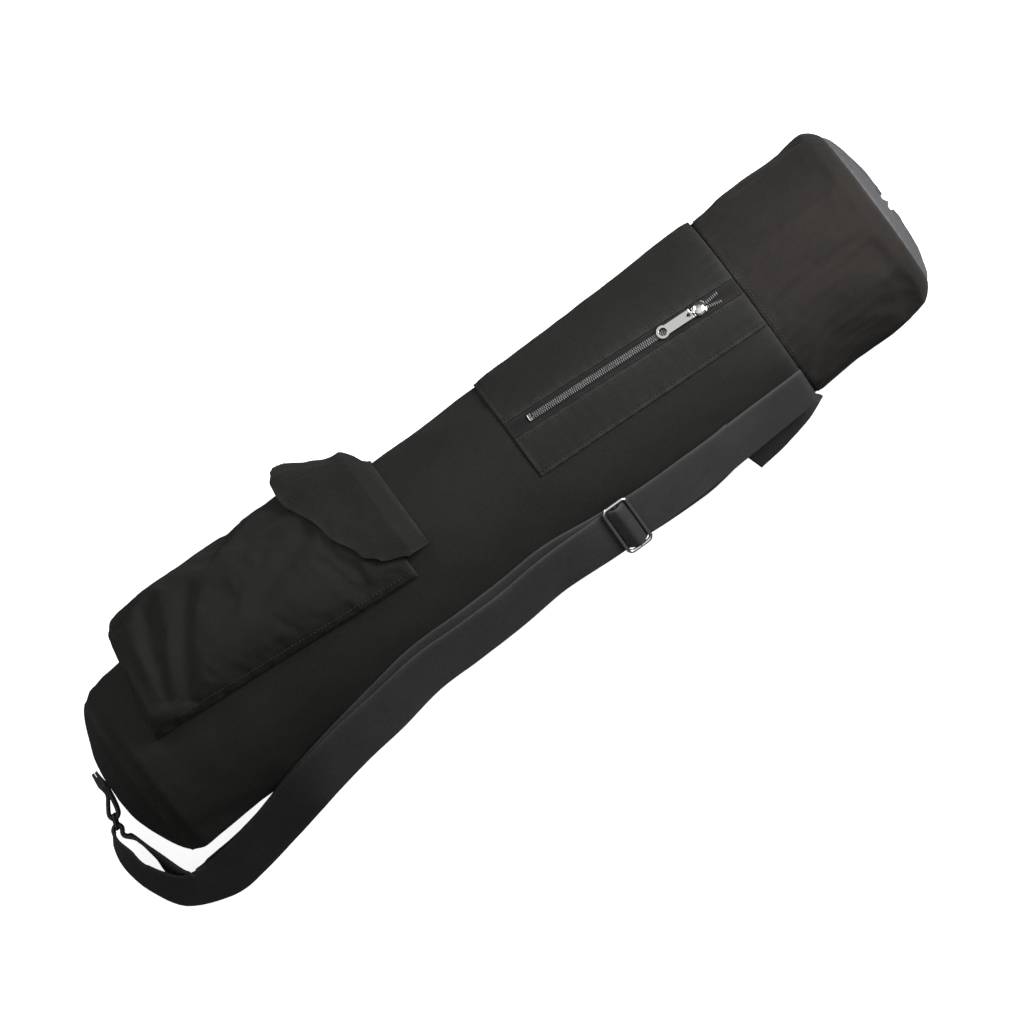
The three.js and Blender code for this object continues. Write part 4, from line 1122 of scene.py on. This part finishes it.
def wire_frame(name, length, width, corner, centre, x_way, y_way, bars=()):
    """Round wire bent to a rectangle with round corners, with straight bars across it."""
    outline = bmesh.new()
    bmesh.ops.create_grid(outline, x_segments=1, y_segments=1, size=0.5)
    bmesh.ops.scale(outline, vec=(length, width, 1), verts=outline.verts)
    bmesh.ops.bevel(outline, geom=outline.verts[:], offset=corner, offset_type="OFFSET", segments=7,
                    profile=0.5, affect="VERTICES", material=-1)
    for bar in bars:
        ends = [outline.verts.new((bar * length, side * width / 2, 0)) for side in (-1, 1)]
        outline.edges.new(ends)
    bmesh.ops.delete(outline, geom=outline.faces[:], context="FACES_ONLY")
    turned = Matrix((x_way, y_way, x_way.cross(y_way))).transposed().to_4x4()
    bmesh.ops.transform(outline, matrix=Matrix.Translation(centre) @ turned, verts=outline.verts)
    piece = add_piece(name, outline, smooth=False)
    bpy.ops.object.select_all(action="DESELECT")
    bpy.context.view_layer.objects.active = piece
    piece.select_set(True)
    bpy.ops.object.convert(target="CURVE")
    piece.data.bevel_depth = WIRE
    piece.data.bevel_resolution = 4
    piece.data.use_fill_caps = True
    bpy.ops.object.convert(target="MESH")
    piece.select_set(False)
    piece.data.shade_smooth()
    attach(piece, "bag")
    return piece


slide_spot = on_flank(slide_x, 1, slide_lift)
slide_way = (on_flank(slide_x + 0.001, 1)["at"] - on_flank(slide_x - 0.001, 1)["at"]).normalized()
slide_across = slide_spot["edge"] - slide_way * slide_spot["edge"].dot(slide_way)
slide_across.normalize()
slide_width = STRAP_WIDTH + 2 * (WIRE + TURN_GAP)
slide = wire_frame("slide_frame", SLIDE_LENGTH - 2 * WIRE, slide_width, 0.004, slide_spot["at"],
                   slide_way, slide_across, bars=(0,))
slide.data.materials.append(nickel)
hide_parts("strap_slide")

# The base ring: black wire, half hidden by the webbing, which joins the strap to the base tab.
black_metal = polished("black_wire", (0.03, 0.03, 0.032), 0.35, 0.6)
ring = wire_frame("ring_frame", RING_WIDTH, STRAP_WIDTH + 2 * (WIRE + TURN_GAP * 2), 0.002, ring_centre,
                  ring_lead, UP)
ring.data.materials.append(black_metal)
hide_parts("base_ring")

# The base tab: a short piece of the same webbing, folded round the ring and sewn to the base.
TAB_ENDS = (0.11, -0.05)


def tab_place(out, side):
    rise = 0.07 * RADIUS * share(out, TAB_ENDS[1] * 2, TAB_ENDS[0])
    away = tab_face - side * (WEBBING + 0.0003)
    return {"at": Vector((away, out * RADIUS, ring_centre.z + rise)), "turn": 90}


tab_route = [tab_place(out, 0) for out in TAB_ENDS]
tab_route += round_bar(tab_bar, -1)[1:4][::-1]
tab_route += [tab_place(out, 1) for out in TAB_ENDS[::-1]]
tab = strap_cloth("base_tab_band", tab_route, 8, webbing, camber=0)
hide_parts("base_tab")

# The seam tail: a loose end of webbing caught in the collar seam, which hangs behind the strap.
TAIL_ROUTE = [
    {"back": 0.0, "out": 0.99, "up": 1.2, "turn": 75},
    {"back": 0.25, "out": 1.05, "up": 1.165, "turn": 68},
    {"back": 0.6, "out": 1.095, "up": 1.12, "turn": 63},
    {"back": 0.85, "out": 1.115, "up": 1.08, "turn": 61},
    {"back": 1.0, "out": 1.125, "up": 1.06, "turn": 60},
]
tail_route = [
    {"at": Vector((COLLAR_SEAM - 0.0003 - row["back"] * 0.07, -row["out"] * RADIUS, row["up"] * RADIUS)),
     "turn": row["turn"]}
    for row in TAIL_ROUTE
]
tail = strap_cloth("seam_tail_band", tail_route, 8, webbing)
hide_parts("seam_tail")

# The zip's metal: a cast slider, its stamped pull and a small end stop, polished and plated, with
# soft edges.
for name, edge in (("zip_stop", 0.0003), ("zip_slider", 0.0003), ("zip_pull", 0.00022)):
    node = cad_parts[name]
    node.data.materials.clear()
    node.data.materials.append(nickel)
    weld = node.modifiers.new("weld", "WELD")
    weld.merge_threshold = 0.00001
    soften = node.modifiers.new("soft_edges", "BEVEL")
    soften.width = edge
    soften.segments = 2
    soften.limit_method = "ANGLE"
    soften.angle_limit = math.radians(32)
